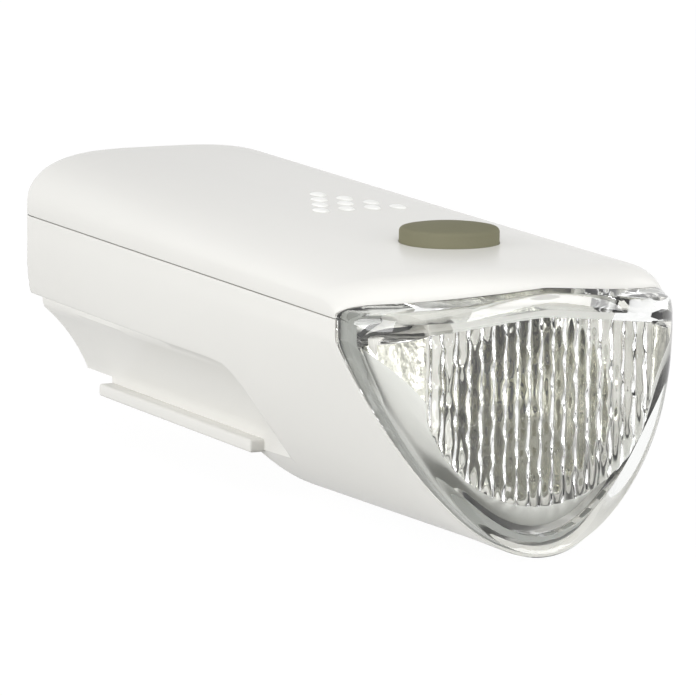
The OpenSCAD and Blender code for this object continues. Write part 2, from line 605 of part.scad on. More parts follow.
module button_retainer() color("ivory") placed() difference() {
    union() {
        translate([0, button_y, ring_top - ring_h]) cylinder(ring_h, flange_r + ring_rim, flange_r + ring_rim);
        for (s = [-1, 1]) translate([s * ear_x, button_y, ring_top - ring_h]) cylinder(ring_h, ear_r, ear_r);
        block(-ear_x, ear_x, button_y - ear_bar / 2, button_y + ear_bar / 2, ring_top - ring_h, ring_top);
    }
    translate([0, button_y, -10]) cylinder(30, flange_r - ring_lip, flange_r - ring_lip);
    for (s = [-1, 1]) translate([s * ear_x, button_y, -10]) cylinder(30, ear_hole, ear_hole);
}
module retainer_screws() color("gray") placed() for (s = [-1, 1])
    translate([s * ear_x, button_y, 0]) mirror([0, 0, 1]) screw(ring_h - ring_top, ring_h + ring_screw_l,
        ring_screw_r, ring_head_r, ring_head_h);

// Two leads from the driver board down to the emitter's board
module led_lead(s) {
    y = led_y + led_board_t + lead_r + 0.05;
    translate([s * lead_x, y, -axis_d + 2]) cylinder(board_z + axis_d - 2, lead_r, lead_r);
}
module led_lead_red() color("red") placed() led_lead(-1);
module led_lead_black() color("black") placed() led_lead(1);

module battery_holder() color("dimgray") placed() {
    for (y = [holder_y, holder_end - plate_t]) along(y, y + plate_t) holder_plate();
    for (s = [-1, 1]) block(s * 11.4 - 1.1, s * 11.4 + 1.1, holder_y + plate_t / 2, holder_end - plate_t / 2,
        upper_z - 9.6, upper_z - 7.4);
}
module holder_plate() {
    for (p = cell_places) translate(p) circle(cell_r);
    polygon([[-12.6, upper_z - 9.8], [-upper_x - 5, upper_z], [upper_x + 5, upper_z], [12.6, upper_z - 9.8], [0, lower_z]]);
}
module cell(x, z) {
    rod(x, cell_y + nib_l, spring_y, z, cell_r);
    rod(x, cell_y, cell_y + nib_l + 0.5, z, 2.75);
}
module aa_cell_left() color("seagreen") placed() cell(cell_places[0][0], cell_places[0][1]);
module aa_cell_right() color("seagreen") placed() cell(cell_places[1][0], cell_places[1][1]);
module aa_cell_lower() color("seagreen") placed() cell(cell_places[2][0], cell_places[2][1]);

// Contact springs: three turns that narrow towards the cell
spring_turns = 2.5;
function coil_pt(f) = let (r = 4.6 - 1.6 * f, a = 360 * spring_turns * f)
    [r * cos(a), -(spring_l - 2 * spring_wire) * f - spring_wire, r * sin(a)];
coil_steps = 20;
coil = [for (i = [0 : coil_steps * spring_turns]) coil_pt(i / (coil_steps * spring_turns))];
// Least gap between turns, measured between points more than a third of a turn apart
echo(spring_gap = min([for (i = [0 : len(coil) - 1], j = [0 : len(coil) - 1])
    if (j - i > coil_steps / 3) norm(coil[i] - coil[j])]) - 2 * spring_wire);
function coil_ring(i) = let (f = i / (coil_steps * spring_turns), a = 360 * spring_turns * f, u = [cos(a), 0, sin(a)])
    [for (b = [0 : 60 : 300]) coil[i] + spring_wire * (cos(b) * u + sin(b) * [0, 1, 0])];
module cell_springs() color("silver") placed() for (p = cell_places)
    translate([p[0], back_y, p[1]]) skin([for (i = [0 : len(coil) - 1]) coil_ring(i)]);
module front_contacts() color("silver") placed() for (p = cell_places)
    along(holder_y + plate_t, cell_y) translate([p[0] - 3.5, p[1] - 3.5]) square([7, 7]);
module rear_contacts() color("silver") placed() along(back_y, back_y + strip_t) {
    translate([-upper_x - 5, upper_z - 4.9]) square([2 * upper_x + 10, 9.8]);
    translate([-5, lower_z - 5]) square([10, 10]);
}
// Two leads from the holder's front plate to the rear edge of the driver board
battery_lead_x = 8;
function lead_line(x) = let (y = holder_y, z = lead_r - board_d)
    [[x, y, z + 1.8], [x, y - 0.7, z + 1.8], [x, y - 1.4, z + 1.5], [x, y - 1.8, z + 0.9],
        [x, y - 2.2, z + 0.3], [x, y - 2.8, z], [x, y - 3.4, z]];
module battery_lead(s) skin(wire_rows(lead_line(s * battery_lead_x), lead_r));
module battery_lead_red() color("red") placed() battery_lead(-1);
module battery_lead_black() color("black") placed() battery_lead(1);

lower_body();
upper_cover();
cover_seal();
hinge_pin();
lens();
lens_gasket();
reflector();
optics_frame();
frame_screws();
led_board();
led_emitter();
thermal_pad();
heat_sink();
driver_board();
board_screws();
inductor();
driver_chip();
capacitors();
tact_switch();
switch_plunger();
button();
button_retainer();
retainer_screws();
led_lead_red();
led_lead_black();
battery_holder();
aa_cell_left();
aa_cell_right();
aa_cell_lower();
cell_springs();
front_contacts();
rear_contacts();
battery_lead_red();
battery_lead_black();
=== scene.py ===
import json
import math

import bmesh
import bpy
from mathutils import Matrix, Vector
from mathutils.kdtree import KDTree

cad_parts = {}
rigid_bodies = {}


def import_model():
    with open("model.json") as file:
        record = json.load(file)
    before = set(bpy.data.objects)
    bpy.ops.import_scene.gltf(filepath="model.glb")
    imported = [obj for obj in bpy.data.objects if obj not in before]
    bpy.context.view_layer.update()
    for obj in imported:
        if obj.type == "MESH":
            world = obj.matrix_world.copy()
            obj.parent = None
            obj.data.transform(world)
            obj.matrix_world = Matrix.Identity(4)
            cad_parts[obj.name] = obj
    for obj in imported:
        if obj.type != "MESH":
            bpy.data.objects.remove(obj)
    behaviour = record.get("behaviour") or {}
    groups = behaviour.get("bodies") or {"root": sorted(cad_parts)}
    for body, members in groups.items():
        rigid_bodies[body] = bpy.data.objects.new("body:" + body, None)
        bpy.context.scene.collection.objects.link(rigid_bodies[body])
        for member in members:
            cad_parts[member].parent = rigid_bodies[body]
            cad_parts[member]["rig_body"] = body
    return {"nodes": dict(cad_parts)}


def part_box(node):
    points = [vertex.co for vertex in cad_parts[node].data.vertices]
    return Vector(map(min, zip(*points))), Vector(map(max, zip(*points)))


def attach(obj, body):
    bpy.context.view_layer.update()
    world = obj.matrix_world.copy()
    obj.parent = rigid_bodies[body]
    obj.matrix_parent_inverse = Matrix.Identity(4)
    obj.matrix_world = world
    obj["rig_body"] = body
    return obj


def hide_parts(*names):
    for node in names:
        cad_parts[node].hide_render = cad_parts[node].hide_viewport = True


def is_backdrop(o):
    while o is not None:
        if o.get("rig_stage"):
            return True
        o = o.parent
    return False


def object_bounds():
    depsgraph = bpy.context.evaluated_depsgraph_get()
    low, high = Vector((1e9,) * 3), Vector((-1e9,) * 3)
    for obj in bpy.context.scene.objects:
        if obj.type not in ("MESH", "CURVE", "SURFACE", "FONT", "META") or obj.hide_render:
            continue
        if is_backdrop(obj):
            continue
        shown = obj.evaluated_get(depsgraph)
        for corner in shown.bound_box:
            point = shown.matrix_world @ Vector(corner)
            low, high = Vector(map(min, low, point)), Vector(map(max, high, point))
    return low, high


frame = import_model()
cad_low, cad_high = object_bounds()

# Lower body. One injection moulding in gloss white ABS: a deep front hull, a side wall, and a keel
# that ends in the two flanges of the slide rail. The bracket's jaws run in the recess beside the keel.
# Its freeform skin comes from the section formulas; sizes are millimetres from the seam.
half_w, rear_half_w, length = 22.5, 19.7, 107
corner_y, corner_r = 101, 6
chin, chin_fall, wall_low, flat_side = 28.8, 0.6, -11.3, 2.6
hull_l, hull_power_front, hull_power_rear, power_reach = 45, 1.12, 1.65, 60
bow, bow_power = 11.2, 2.24
shoulder_x, hollow_x, hollow_z = 19.3, 14.2, -15.1
neck_x, neck_z, foot_z, heel_z = 12, -21, -23.7, -21.2
rail_start, rail_end, rail_x, flange_t, flange_lap = 42, 91, 14, 1.7, 0.6
scoop_y, scoop_z, scoop_r = 43.5, -20.5, 10
scoop_low_y, ramp_y, ramp_slope, ramp_from = 34, 44.4, 0.49, 40
keel_stop, keel_slant, ledge = 99.5, 2, 0.35
hinge_y, knuckle_r, knuckle_x, ear_x = 106.3, 1.2, 3, 8.15
body_wall, seam_gap = 1.5, 0.1
boss_x, boss_y, boss_z, boss_r, boss_h = 13, 22.5, -11.2, 2.6, 12.6


def place(x, y, z):
    """A point given in millimetres from the seam, in metres in the part's own frame at the rail's foot."""
    return Vector((x / 1000, (y - (rail_start + rail_end) / 2) / 1000, (z - foot_z) / 1000))


def only(piece):
    for other in bpy.context.view_layer.objects:
        other.select_set(False)
    if piece:
        piece.select_set(True)
        bpy.context.view_layer.objects.active = piece


def skin_piece(name, points, faces):
    mesh = bpy.data.meshes.new(name)
    mesh.from_pydata([place(*p) for p in points], [], faces)
    piece = bpy.data.objects.new(name, mesh)
    bpy.context.scene.collection.objects.link(piece)
    only(piece)
    bpy.ops.object.mode_set(mode="EDIT")
    bpy.ops.mesh.select_all(action="SELECT")
    bpy.ops.mesh.remove_doubles(threshold=2e-6)
    bpy.ops.mesh.dissolve_degenerate(threshold=1e-6)
    bpy.ops.mesh.normals_make_consistent(inside=False)
    bpy.ops.object.mode_set(mode="OBJECT")
    return piece


def grid_faces(rows, columns, start=0):
    corners = [start + r * columns + c for r in range(rows - 1) for c in range(columns - 1)]
    return [(k, k + 1, k + columns + 1, k + columns) for k in corners]


def finish_with(piece, kind, **settings):
    only(piece)
    modifier = piece.modifiers.new(kind.lower(), kind)
    for key, value in settings.items():
        setattr(modifier, key, value)
    bpy.ops.object.modifier_apply(modifier=modifier.name)


def cut(piece, tool):
    finish_with(piece, "BOOLEAN", operation="DIFFERENCE", object=tool, solver="EXACT")
    bpy.data.objects.remove(tool)


def break_corners(piece, width, segments=2, angle=50):
    """Round off the corners sharper than the angle, by so many millimetres."""
    finish_with(piece, "BEVEL", width=width / 1000, segments=segments, limit_method="ANGLE",
                angle_limit=math.radians(angle))


def bar_across(x0, x1, y, z, r, sides=48):
    """A round bar from x0 to x1, as for a hinge."""
    only(None)
    bpy.ops.mesh.primitive_cylinder_add(vertices=sides, radius=r / 1000, depth=abs(x1 - x0) / 1000,
                                        location=place((x0 + x1) / 2, y, z), rotation=(0, math.pi / 2, 0))
    bpy.ops.object.transform_apply(location=True, rotation=True, scale=False)
    return bpy.context.object


def upright_bar(spot, r, h, sides=48):
    """A round bar that stands up, about a spot given in metres."""
    only(None)
    bpy.ops.mesh.primitive_cylinder_add(vertices=sides, radius=r / 1000, depth=h / 1000, location=spot)
    bpy.ops.object.transform_apply(location=True, rotation=False, scale=False)
    return bpy.context.object


def join_to(piece, extras):
    only(piece)
    for extra in extras:
        extra.select_set(True)
    bpy.ops.object.join()


def smooth(piece, degrees):
    only(piece)
    bpy.ops.object.shade_smooth_by_angle(angle=math.radians(degrees))


def between(a, b, f):
    return a + (b - a) * min(1, max(0, f))


def side_x(y):
    return half_w - (half_w - rear_half_w) * max(y, 0) / length


def plan_x(y):
    if y <= corner_y:
        return side_x(y)
    return side_x(corner_y) - corner_r + math.sqrt(max(0, corner_r ** 2 - (y - corner_y) ** 2))


def bow_y(x):
    return -bow * (1 - min(1, abs(x) / half_w) ** bow_power)


def hull_power(y):
    return between(hull_power_front, hull_power_rear, y / power_reach)


def hull_depth(y):
    return between(chin, chin + chin_fall, y / hull_l) - flat_side


def hull_x(y, z):
    deep = min(1, max(0, (-z - flat_side) / hull_depth(y)))
    return side_x(y) * math.sqrt(1 - deep ** hull_power(y))


def hull_z(y, x):
    return -flat_side - hull_depth(y) * max(0, 1 - (x / side_x(y)) ** 2) ** (1 / hull_power(y))


def keel_side(f):
    """The hollow curve from the wall's lower edge down to the rail's neck."""
    return ((1 - f) ** 2 * shoulder_x + 2 * f * (1 - f) * hollow_x + f * f * neck_x,
            (1 - f) ** 2 * wall_low + 2 * f * (1 - f) * hollow_z + f * f * neck_z)


def recess_y(z):
    return scoop_y - math.sqrt(max(0, scoop_r ** 2 - (z - scoop_z) ** 2))


def keel_end(z):
    return keel_stop + keel_slant * (z - heel_z) / (wall_low - heel_z)


# The levels of the wall, each with how far it is drawn in: both edges are rounded, the lower to the ledge.
wall_levels = [(0, 0.09), (-0.03, 0.03), (-0.09, 0)]
wall_levels += [(z, 0) for z in (-0.5, -1.2, -2, -2.6, -3.2, -4, -5, -6, -7, -8, -9, -10, -10.8)]
wall_levels += [(-11.05, 0.04), (-11.2, 0.12), (wall_low, ledge)]
keel_curve = [keel_side(i / 12) for i in range(13)]
foot_columns = [neck_x * (1 - i / 14) for i in range(15)]
under_y = keel_end(wall_low)


def row_y(part, share, front, scoop, joined, rail, heel):
    """How far back a point of a row lies: a share of the way along its stretch of the body."""
    spans = ((front, scoop), (scoop, joined), (rail, rail_end), (rail_end, heel), (under_y, length))
    return between(*spans[part], share)


def half_section(part, share, edge):
    """One row of the skin from the seam to the middle: hull, scoop, rail, heel and rear end in turn.
    The seam, the wall's lower edge and the two ends of the hull are rounded by drawing points in."""
    row = []
    edge_here = edge if share < 0.5 else 0
    for z, inset in wall_levels:
        y = row_y(part, share, bow_y(hull_x(0, z)), recess_y(wall_low), hull_l, hull_l, under_y)
        drawn = inset if z > -1 else inset * (0, share, 1, 1, 1)[part]
        row.append((min(hull_x(y, z), plan_x(y)) - max(drawn, edge_here), y, z))
    for k, (x, z) in enumerate(keel_curve):
        y = row_y(part, share, bow_y(hull_x(0, z)), recess_y(z), hull_l, hull_l, keel_end(z))
        under_wall = hull_x(y, wall_low) - ledge * (share if part == 1 else 1)
        if part == 0:
            drawn = edge * (1 if share < 0.5 else min(1, k / 2, (len(keel_curve) - k) / 2))
            row.append((hull_x(y, z) - drawn, y, z))
        elif part < 4:
            row.append((min(x, hull_x(y, z), under_wall), y, z))
        else:
            row.append((min(x, under_wall, plan_x(y) - ledge), y, wall_low))
    for x in foot_columns:
        ramp = ramp_y + ramp_slope * (hull_z(ramp_from, x) - foot_z)
        y = row_y(part, share, bow_y(x), scoop_low_y, ramp, ramp_y, keel_stop)
        z = (hull_z(y, x), hull_z(y, x), foot_z, heel_z, wall_low)[part] + edge_here
        row.append((x if part < 4 else min(x, plan_x(y) - ledge), y, z))
    return row


skin_rows = [(0, 0, 0.15), (0, 0.001, 0.05), (0, 0.004, 0)] + [(0, i / 24, 0) for i in range(1, 24)]
skin_rows += [(0, 0.988, 0), (0, 0.996, 0.12), (0, 1, 0.4)] + [(1, i / 5, 0) for i in range(6)]
skin_rows += [(2, i / 12, 0) for i in range(13)] + [(3, i / 4, 0) for i in range(5)]
skin_rows += [(4, math.sin(math.radians(7.5 * i)), 0) for i in range(13)]
points = []
for row in skin_rows:
    half = half_section(*row)
    points += half + [(-x, y, z) for x, y, z in reversed(half[:-1])]
columns = len(points) // len(skin_rows)
faces = grid_faces(len(skin_rows), columns)
faces.append(tuple(range(len(points) - columns, len(points))))
body = skin_piece("body_shell", points, faces)
finish_with(body, "SOLIDIFY", thickness=body_wall / 1000, offset=-1, use_rim=True)
groove_points = [(x, hinge_y + dy, dz) for x in (-40, 40) for dy, dz in ((0, 0), (4, 4), (4, -4))]
groove_faces = [(0, 2, 1), (3, 4, 5), (0, 1, 4, 3), (1, 2, 5, 4), (2, 0, 3, 5)]
cut(body, skin_piece("groove", groove_points, groove_faces))
cut(body, bar_across(-knuckle_x - seam_gap, knuckle_x + seam_gap, hinge_y, 0, knuckle_r + seam_gap))
smooth(body, 36)

extras = []
for side in (-1, 1):
    only(None)
    flange_mid = side * (rail_x + neck_x - flange_lap) / 2
    bpy.ops.mesh.primitive_cube_add(size=1, location=place(flange_mid, (rail_start + rail_end) / 2,
                                                           foot_z + flange_t / 2))
    flange = bpy.context.object
    flange.scale = ((rail_x - neck_x + flange_lap) / 1000, (rail_end - rail_start) / 1000, flange_t / 1000)
    bpy.ops.object.transform_apply(location=True, rotation=False, scale=True)
    break_corners(flange, 0.4, 4, 30)
    ear = bar_across(side * (knuckle_x + seam_gap), side * ear_x, hinge_y, 0, knuckle_r)
    break_corners(ear, 0.2)
    boss = upright_bar(place(side * boss_x, boss_y, boss_z), boss_r, boss_h)
    break_corners(boss, 0.3)
    extras += [flange, ear, boss]
for extra in extras:
    smooth(extra, 42)
join_to(body, extras)


# Gloss white ABS, moulded in a polished tool: an even pale white, with a faint wave in the gloss that
# is 3 mm long, and handling marks of about 20 mm that only soften the shine.
def tint(code):
    """An sRGB hex colour as linear red, green, blue and alpha."""
    parts = [int(code[i:i + 2], 16) / 255 for i in (1, 3, 5)]
    return tuple(c / 12.92 if c <= 0.04045 else ((c + 0.055) / 1.055) ** 2.4 for c in parts) + (1,)


def add(tree, kind, values=None, links=None, **settings):
    """A node with its settings, socket values and incoming links."""
    made = tree.nodes.new(kind)
    for key, value in settings.items():
        setattr(made, key, value)
    for key, value in (values or {}).items():
        made.inputs[key].default_value = value
    for key, source in (links or {}).items():
        tree.links.new(source, made.inputs[key])
    return made


def material_named(name):
    made = bpy.data.materials.new(name)
    made.use_nodes = True
    made.node_tree.nodes.clear()
    return made, made.node_tree


white_abs, t = material_named("gloss_white_abs")
where = add(t, "ShaderNodeTexCoord")
peel = add(t, "ShaderNodeTexNoise", {"Scale": 330, "Detail": 1}, {"Vector": where.outputs["Object"]})
marks = add(t, "ShaderNodeTexNoise", {"Scale": 50, "Detail": 1}, {"Vector": where.outputs["Object"]})
gloss = add(t, "ShaderNodeMapRange", {"To Min": 0.24, "To Max": 0.28}, {"Value": marks.outputs["Fac"]})
tone = add(t, "ShaderNodeMix", {"A": tint("#EFEEEA"), "B": tint("#EDECE8")}, {"Factor": marks.outputs["Fac"]},
           data_type="RGBA")
wave = add(t, "ShaderNodeBump", {"Strength": 0.03, "Distance": 0.0002}, {"Height": peel.outputs["Fac"]})
coat = add(t, "ShaderNodeBsdfPrincipled", {"IOR": 1.5, "Specular IOR Level": 0.1},
           {"Base Color": tone.outputs["Result"], "Roughness": gloss.outputs["Result"],
            "Normal": wave.outputs["Normal"]})
add(t, "ShaderNodeOutputMaterial", links={"Surface": coat.outputs["BSDF"]})
body.data.materials.append(white_abs)
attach(body, "housing")
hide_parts("lower_body")


# Seal of the cover. A thin lip of pale grey silicone pressed into a slot round the rim; it stands a
# little proud in the gap of the seam, with a bloom that varies over 2.5 mm. Like most inner pieces it
# keeps its solid's shape.
lip_proud = 0.15


def clouded(name, light, dark, scale, detail, look):
    """A material of two close tones that drift into each other, with the look of its coat."""
    made, tree = material_named(name)
    where = add(tree, "ShaderNodeTexCoord")
    cloud = add(tree, "ShaderNodeTexNoise", {"Scale": scale, "Detail": detail},
                {"Vector": where.outputs["Object"]})
    tone = add(tree, "ShaderNodeMix", {"A": tint(light), "B": tint(dark)}, {"Factor": cloud.outputs["Fac"]},
               data_type="RGBA")
    coat = add(tree, "ShaderNodeBsdfPrincipled", look, {"Base Color": tone.outputs["Result"]})
    add(tree, "ShaderNodeOutputMaterial", links={"Surface": coat.outputs["BSDF"]})
    return made


def dressed(name, material, corner=0.12, angle=35):
    """A copy of a solid with its flat faces whole, its corners broken by so many millimetres."""
    node = frame["nodes"][name]
    piece = bpy.data.objects.new("dressed_" + name, node.data.copy())
    bpy.context.scene.collection.objects.link(piece)
    only(piece)
    bpy.ops.object.mode_set(mode="EDIT")
    bpy.ops.mesh.select_all(action="SELECT")
    bpy.ops.mesh.remove_doubles(threshold=1e-6)
    bpy.ops.mesh.dissolve_limited(angle_limit=math.radians(0.5))
    bpy.ops.object.mode_set(mode="OBJECT")
    if corner:
        break_corners(piece, corner, angle=angle)
    smooth(piece, angle)
    piece.data.materials.clear()
    piece.data.materials.append(material)
    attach(piece, node["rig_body"])
    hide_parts(name)
    return piece


seal_silicone = clouded("grey_seal_silicone", "#CBC9BF", "#BEBCB2", 400, 4, {"Roughness": 0.55, "IOR": 1.41})
seal = dressed("cover_seal", seal_silicone, 0)
seal_top = max(v.co.z for v in seal.data.vertices)
for v in seal.data.vertices:
    if v.co.z > seal_top - 1e-5:
        v.co.z += lip_proud / 1000

# Cell holder. Two end plates joined by two rails, moulded in black polypropylene with a fine spark
# texture of 0.3 mm, dropped into the keel.
polypropylene, t = material_named("black_polypropylene")
where = add(t, "ShaderNodeTexCoord")
spark = add(t, "ShaderNodeTexVoronoi", {"Scale": 3300}, {"Vector": where.outputs["Object"]})
dents = add(t, "ShaderNodeBump", {"Strength": 0.3, "Distance": 0.00008},
            {"Height": spark.outputs["Distance"]})
dust = add(t, "ShaderNodeTexNoise", {"Scale": 90, "Detail": 5}, {"Vector": where.outputs["Object"]})
tone = add(t, "ShaderNodeMix", {"A": tint("#222325"), "B": tint("#303133")}, {"Factor": dust.outputs["Fac"]},
           data_type="RGBA")
coat = add(t, "ShaderNodeBsdfPrincipled", {"Roughness": 0.5},
           {"Base Color": tone.outputs["Result"], "Normal": dents.outputs["Normal"]})
add(t, "ShaderNodeOutputMaterial", links={"Surface": coat.outputs["BSDF"]})
dressed("battery_holder", polypropylene, 0.2)

# Contacts and springs. Nickel-plated spring steel, stamped and wound: bright, a little warm, with
# rolling lines 0.2 mm apart along the strip.
nickel, t = material_named("nickel_plated_spring_steel")
where = add(t, "ShaderNodeTexCoord")
stretch = add(t, "ShaderNodeMapping", {"Scale": (1, 1, 0.06)}, {"Vector": where.outputs["Object"]})
rolled = add(t, "ShaderNodeTexNoise", {"Scale": 5000, "Detail": 3}, {"Vector": stretch.outputs["Vector"]})
shine = add(t, "ShaderNodeMapRange", {"To Min": 0.16, "To Max": 0.36}, {"Value": rolled.outputs["Fac"]})
tone = add(t, "ShaderNodeMix", {"A": tint("#D9D5C8"), "B": tint("#BDB9AC")},
           {"Factor": rolled.outputs["Fac"]}, data_type="RGBA")
coat = add(t, "ShaderNodeBsdfPrincipled", {"Metallic": 1},
           {"Base Color": tone.outputs["Result"], "Roughness": shine.outputs["Result"]})
add(t, "ShaderNodeOutputMaterial", links={"Surface": coat.outputs["BSDF"]})
dressed("front_contacts", nickel, 0.08)
dressed("rear_contacts", nickel, 0.08)
dressed("cell_springs", nickel, 0, 60)

# AA cells. Drawn steel cans in a plain shrink sleeve, dark green with a pale band at the positive
# end; the can shows at the crimped shoulder, the nib and the rear disc. The sleeve is scuffed in
# patches of about 7 mm.
cell_r, nib_r, nib_l, nib_draft = 7.1, 2.75, 1.2, 0.35
crimp_w, crimp_deep, pole_w, sleeve_r, band_y = 0.9, 0.25, 0.5, 6.4, 43


def repaint(piece, material, chosen):
    """A second finish on the faces that a test of their centre and normal chooses."""
    piece.data.materials.append(material)
    last = len(piece.data.materials) - 1
    for face in piece.data.polygons:
        if chosen(face.center, face.normal):
            face.material_index = last


sleeve, t = material_named("shrink_sleeve_green")
where = add(t, "ShaderNodeTexCoord")
along = add(t, "ShaderNodeSeparateXYZ", links={"Vector": where.outputs["Object"]})
band = add(t, "ShaderNodeMath", {1: place(0, band_y, 0).y}, {0: along.outputs["Y"]}, operation="LESS_THAN")
scuff = add(t, "ShaderNodeTexNoise", {"Scale": 140, "Detail": 5}, {"Vector": where.outputs["Object"]})
rub = add(t, "ShaderNodeMapRange", {"From Min": 0.4, "From Max": 0.75, "To Min": 0.26, "To Max": 0.45},
          {"Value": scuff.outputs["Fac"]})
tone = add(t, "ShaderNodeMix", {"A": tint("#1E4D3B"), "B": tint("#CFCFC6")}, {"Factor": band.outputs[0]},
           data_type="RGBA")
coat = add(t, "ShaderNodeBsdfPrincipled", {"IOR": 1.53},
           {"Base Color": tone.outputs["Result"], "Roughness": rub.outputs["Result"]})
add(t, "ShaderNodeOutputMaterial", links={"Surface": coat.outputs["BSDF"]})
front_steps = ((crimp_w, crimp_deep), (cell_r - crimp_w - nib_draft - nib_r, 0),
               (nib_draft, -nib_l - crimp_deep))
rear_steps = ((crimp_w, crimp_deep), (pole_w, -crimp_deep))
for name in ("aa_cell_left", "aa_cell_right", "aa_cell_lower"):
    low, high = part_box(name)
    middle = (low + high) / 2
    can_start = low.y + nib_l / 1000
    only(None)
    bpy.ops.mesh.primitive_cylinder_add(vertices=96, radius=cell_r / 1000, depth=high.y - can_start,
                                        location=(middle.x, (high.y + can_start) / 2, middle.z),
                                        rotation=(math.pi / 2, 0, 0))
    cell = bpy.context.object
    cell.name = "sleeved_" + name
    bpy.ops.object.transform_apply(location=True, rotation=True, scale=False)
    bpy.ops.object.mode_set(mode="EDIT")
    for end, steps in ((-1, front_steps), (1, rear_steps)):
        bpy.ops.mesh.select_all(action="DESELECT")
        shape = bmesh.from_edit_mesh(cell.data)
        for face in shape.faces:
            face.select = face.normal.y * end > 0.9
        bmesh.update_edit_mesh(cell.data)
        for inset, sink in steps:
            bpy.ops.mesh.inset(thickness=inset / 1000)
            bpy.ops.mesh.extrude_region_move(TRANSFORM_OT_translate={"value": (0, -end * sink / 1000, 0)})
    bpy.ops.object.mode_set(mode="OBJECT")
    break_corners(cell, 0.18, 3)
    smooth(cell, 42)
    cell.data.materials.append(sleeve)
    repaint(cell, nickel, lambda c, n: math.hypot(c.x - middle.x, c.z - middle.z) < sleeve_r / 1000)
    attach(cell, "housing")
    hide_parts(name)

# Heat sink. Extruded aluminium with five fins, left as sawn: pale grey, with draw lines 0.4 mm apart
# down the fins. A soft blue silicone pad carries the heat to it.
aluminium, t = material_named("extruded_aluminium")
where = add(t, "ShaderNodeTexCoord")
stretch = add(t, "ShaderNodeMapping", {"Scale": (1, 1, 0.03)}, {"Vector": where.outputs["Object"]})
drawn = add(t, "ShaderNodeTexNoise", {"Scale": 2500, "Detail": 3}, {"Vector": stretch.outputs["Vector"]})
shine = add(t, "ShaderNodeMapRange", {"To Min": 0.25, "To Max": 0.5}, {"Value": drawn.outputs["Fac"]})
lines = add(t, "ShaderNodeBump", {"Strength": 0.2, "Distance": 0.0001}, {"Height": drawn.outputs["Fac"]})
coat = add(t, "ShaderNodeBsdfPrincipled", {"Base Color": tint("#C6C8CA"), "Metallic": 1},
           {"Roughness": shine.outputs["Result"], "Normal": lines.outputs["Normal"]})
add(t, "ShaderNodeOutputMaterial", links={"Surface": coat.outputs["BSDF"]})
dressed("heat_sink", aluminium, 0.1)
pad_silicone = clouded("blue_gap_pad", "#7FA6C2", "#94B6CC", 1800, 4, {"Roughness": 0.7, "IOR": 1.41})
dressed("thermal_pad", pad_silicone, 0.08)

# Emitter and its board. A metal-core board under black solder mask, with faint tracks 0.12 mm wide, and
# a ceramic emitter whose phosphor lies under a dome of clear silicone.
dome_l = 1.45
black_mask, t = material_named("black_solder_mask")
where = add(t, "ShaderNodeTexCoord")
tracks = add(t, "ShaderNodeTexBrick",
             {"Scale": 1, "Color1": tint("#232526"), "Color2": tint("#282A2B"), "Mortar": tint("#3A3C3D"),
              "Mortar Size": 0.00012, "Brick Width": 0.0062, "Row Height": 0.0024},
             {"Vector": where.outputs["Object"]})
coat = add(t, "ShaderNodeBsdfPrincipled", {"Roughness": 0.32, "IOR": 1.5},
           {"Base Color": tracks.outputs["Color"]})
add(t, "ShaderNodeOutputMaterial", links={"Surface": coat.outputs["BSDF"]})
dressed("led_board", black_mask, 0.1)
ceramic = clouded("white_ceramic", "#E8E6DE", "#DBD8CE", 3000, 2, {"Roughness": 0.4})
phosphor = clouded("phosphor_under_silicone", "#9A977C", "#8F8C70", 4000, 2,
                   {"Roughness": 0.5, "Coat Weight": 1, "Coat Roughness": 0.05, "Coat IOR": 1.41})
emitter = dressed("led_emitter", ceramic, 0, 30)
emitter_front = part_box("led_emitter")[0].y
repaint(emitter, phosphor, lambda c, n: c.y < emitter_front + dome_l / 1000)

# Reflector. A thin moulded bowl with a vacuum-metallised face, round behind the emitter and trimmed
# to the outline of the lens in front. The base coat leaves a slight ripple, about 3 mm long.
metallised, t = material_named("vacuum_metallised_bowl")
where = add(t, "ShaderNodeTexCoord")
ripple = add(t, "ShaderNodeTexNoise", {"Scale": 300, "Detail": 3}, {"Vector": where.outputs["Object"]})
dents = add(t, "ShaderNodeBump", {"Strength": 0.45, "Distance": 0.001}, {"Height": ripple.outputs["Fac"]})
coat = add(t, "ShaderNodeBsdfPrincipled", {"Base Color": tint("#C8C7BF"), "Metallic": 1, "Roughness": 0.1},
           {"Normal": dents.outputs["Normal"]})
add(t, "ShaderNodeOutputMaterial", links={"Surface": coat.outputs["BSDF"]})
dressed("reflector", metallised, 0)

# Optics frame. A deck and a shelf moulded in white nylon, a little duller than the case; the shelf's
# edge shows under the brow. Two zinc-plated screws hold it on the bosses of the body.
white_nylon, t = material_named("white_nylon")
where = add(t, "ShaderNodeTexCoord")
grain = add(t, "ShaderNodeTexNoise", {"Scale": 1500, "Detail": 2}, {"Vector": where.outputs["Object"]})
dents = add(t, "ShaderNodeBump", {"Strength": 0.1, "Distance": 0.0001}, {"Height": grain.outputs["Fac"]})
tone = add(t, "ShaderNodeMix", {"A": tint("#F2F1EC"), "B": tint("#E9E7E0")}, {"Factor": grain.outputs["Fac"]},
           data_type="RGBA")
coat = add(t, "ShaderNodeBsdfPrincipled", {"Roughness": 0.45},
           {"Base Color": tone.outputs["Result"], "Normal": dents.outputs["Normal"]})
add(t, "ShaderNodeOutputMaterial", links={"Surface": coat.outputs["BSDF"]})
dressed("optics_frame", white_nylon)

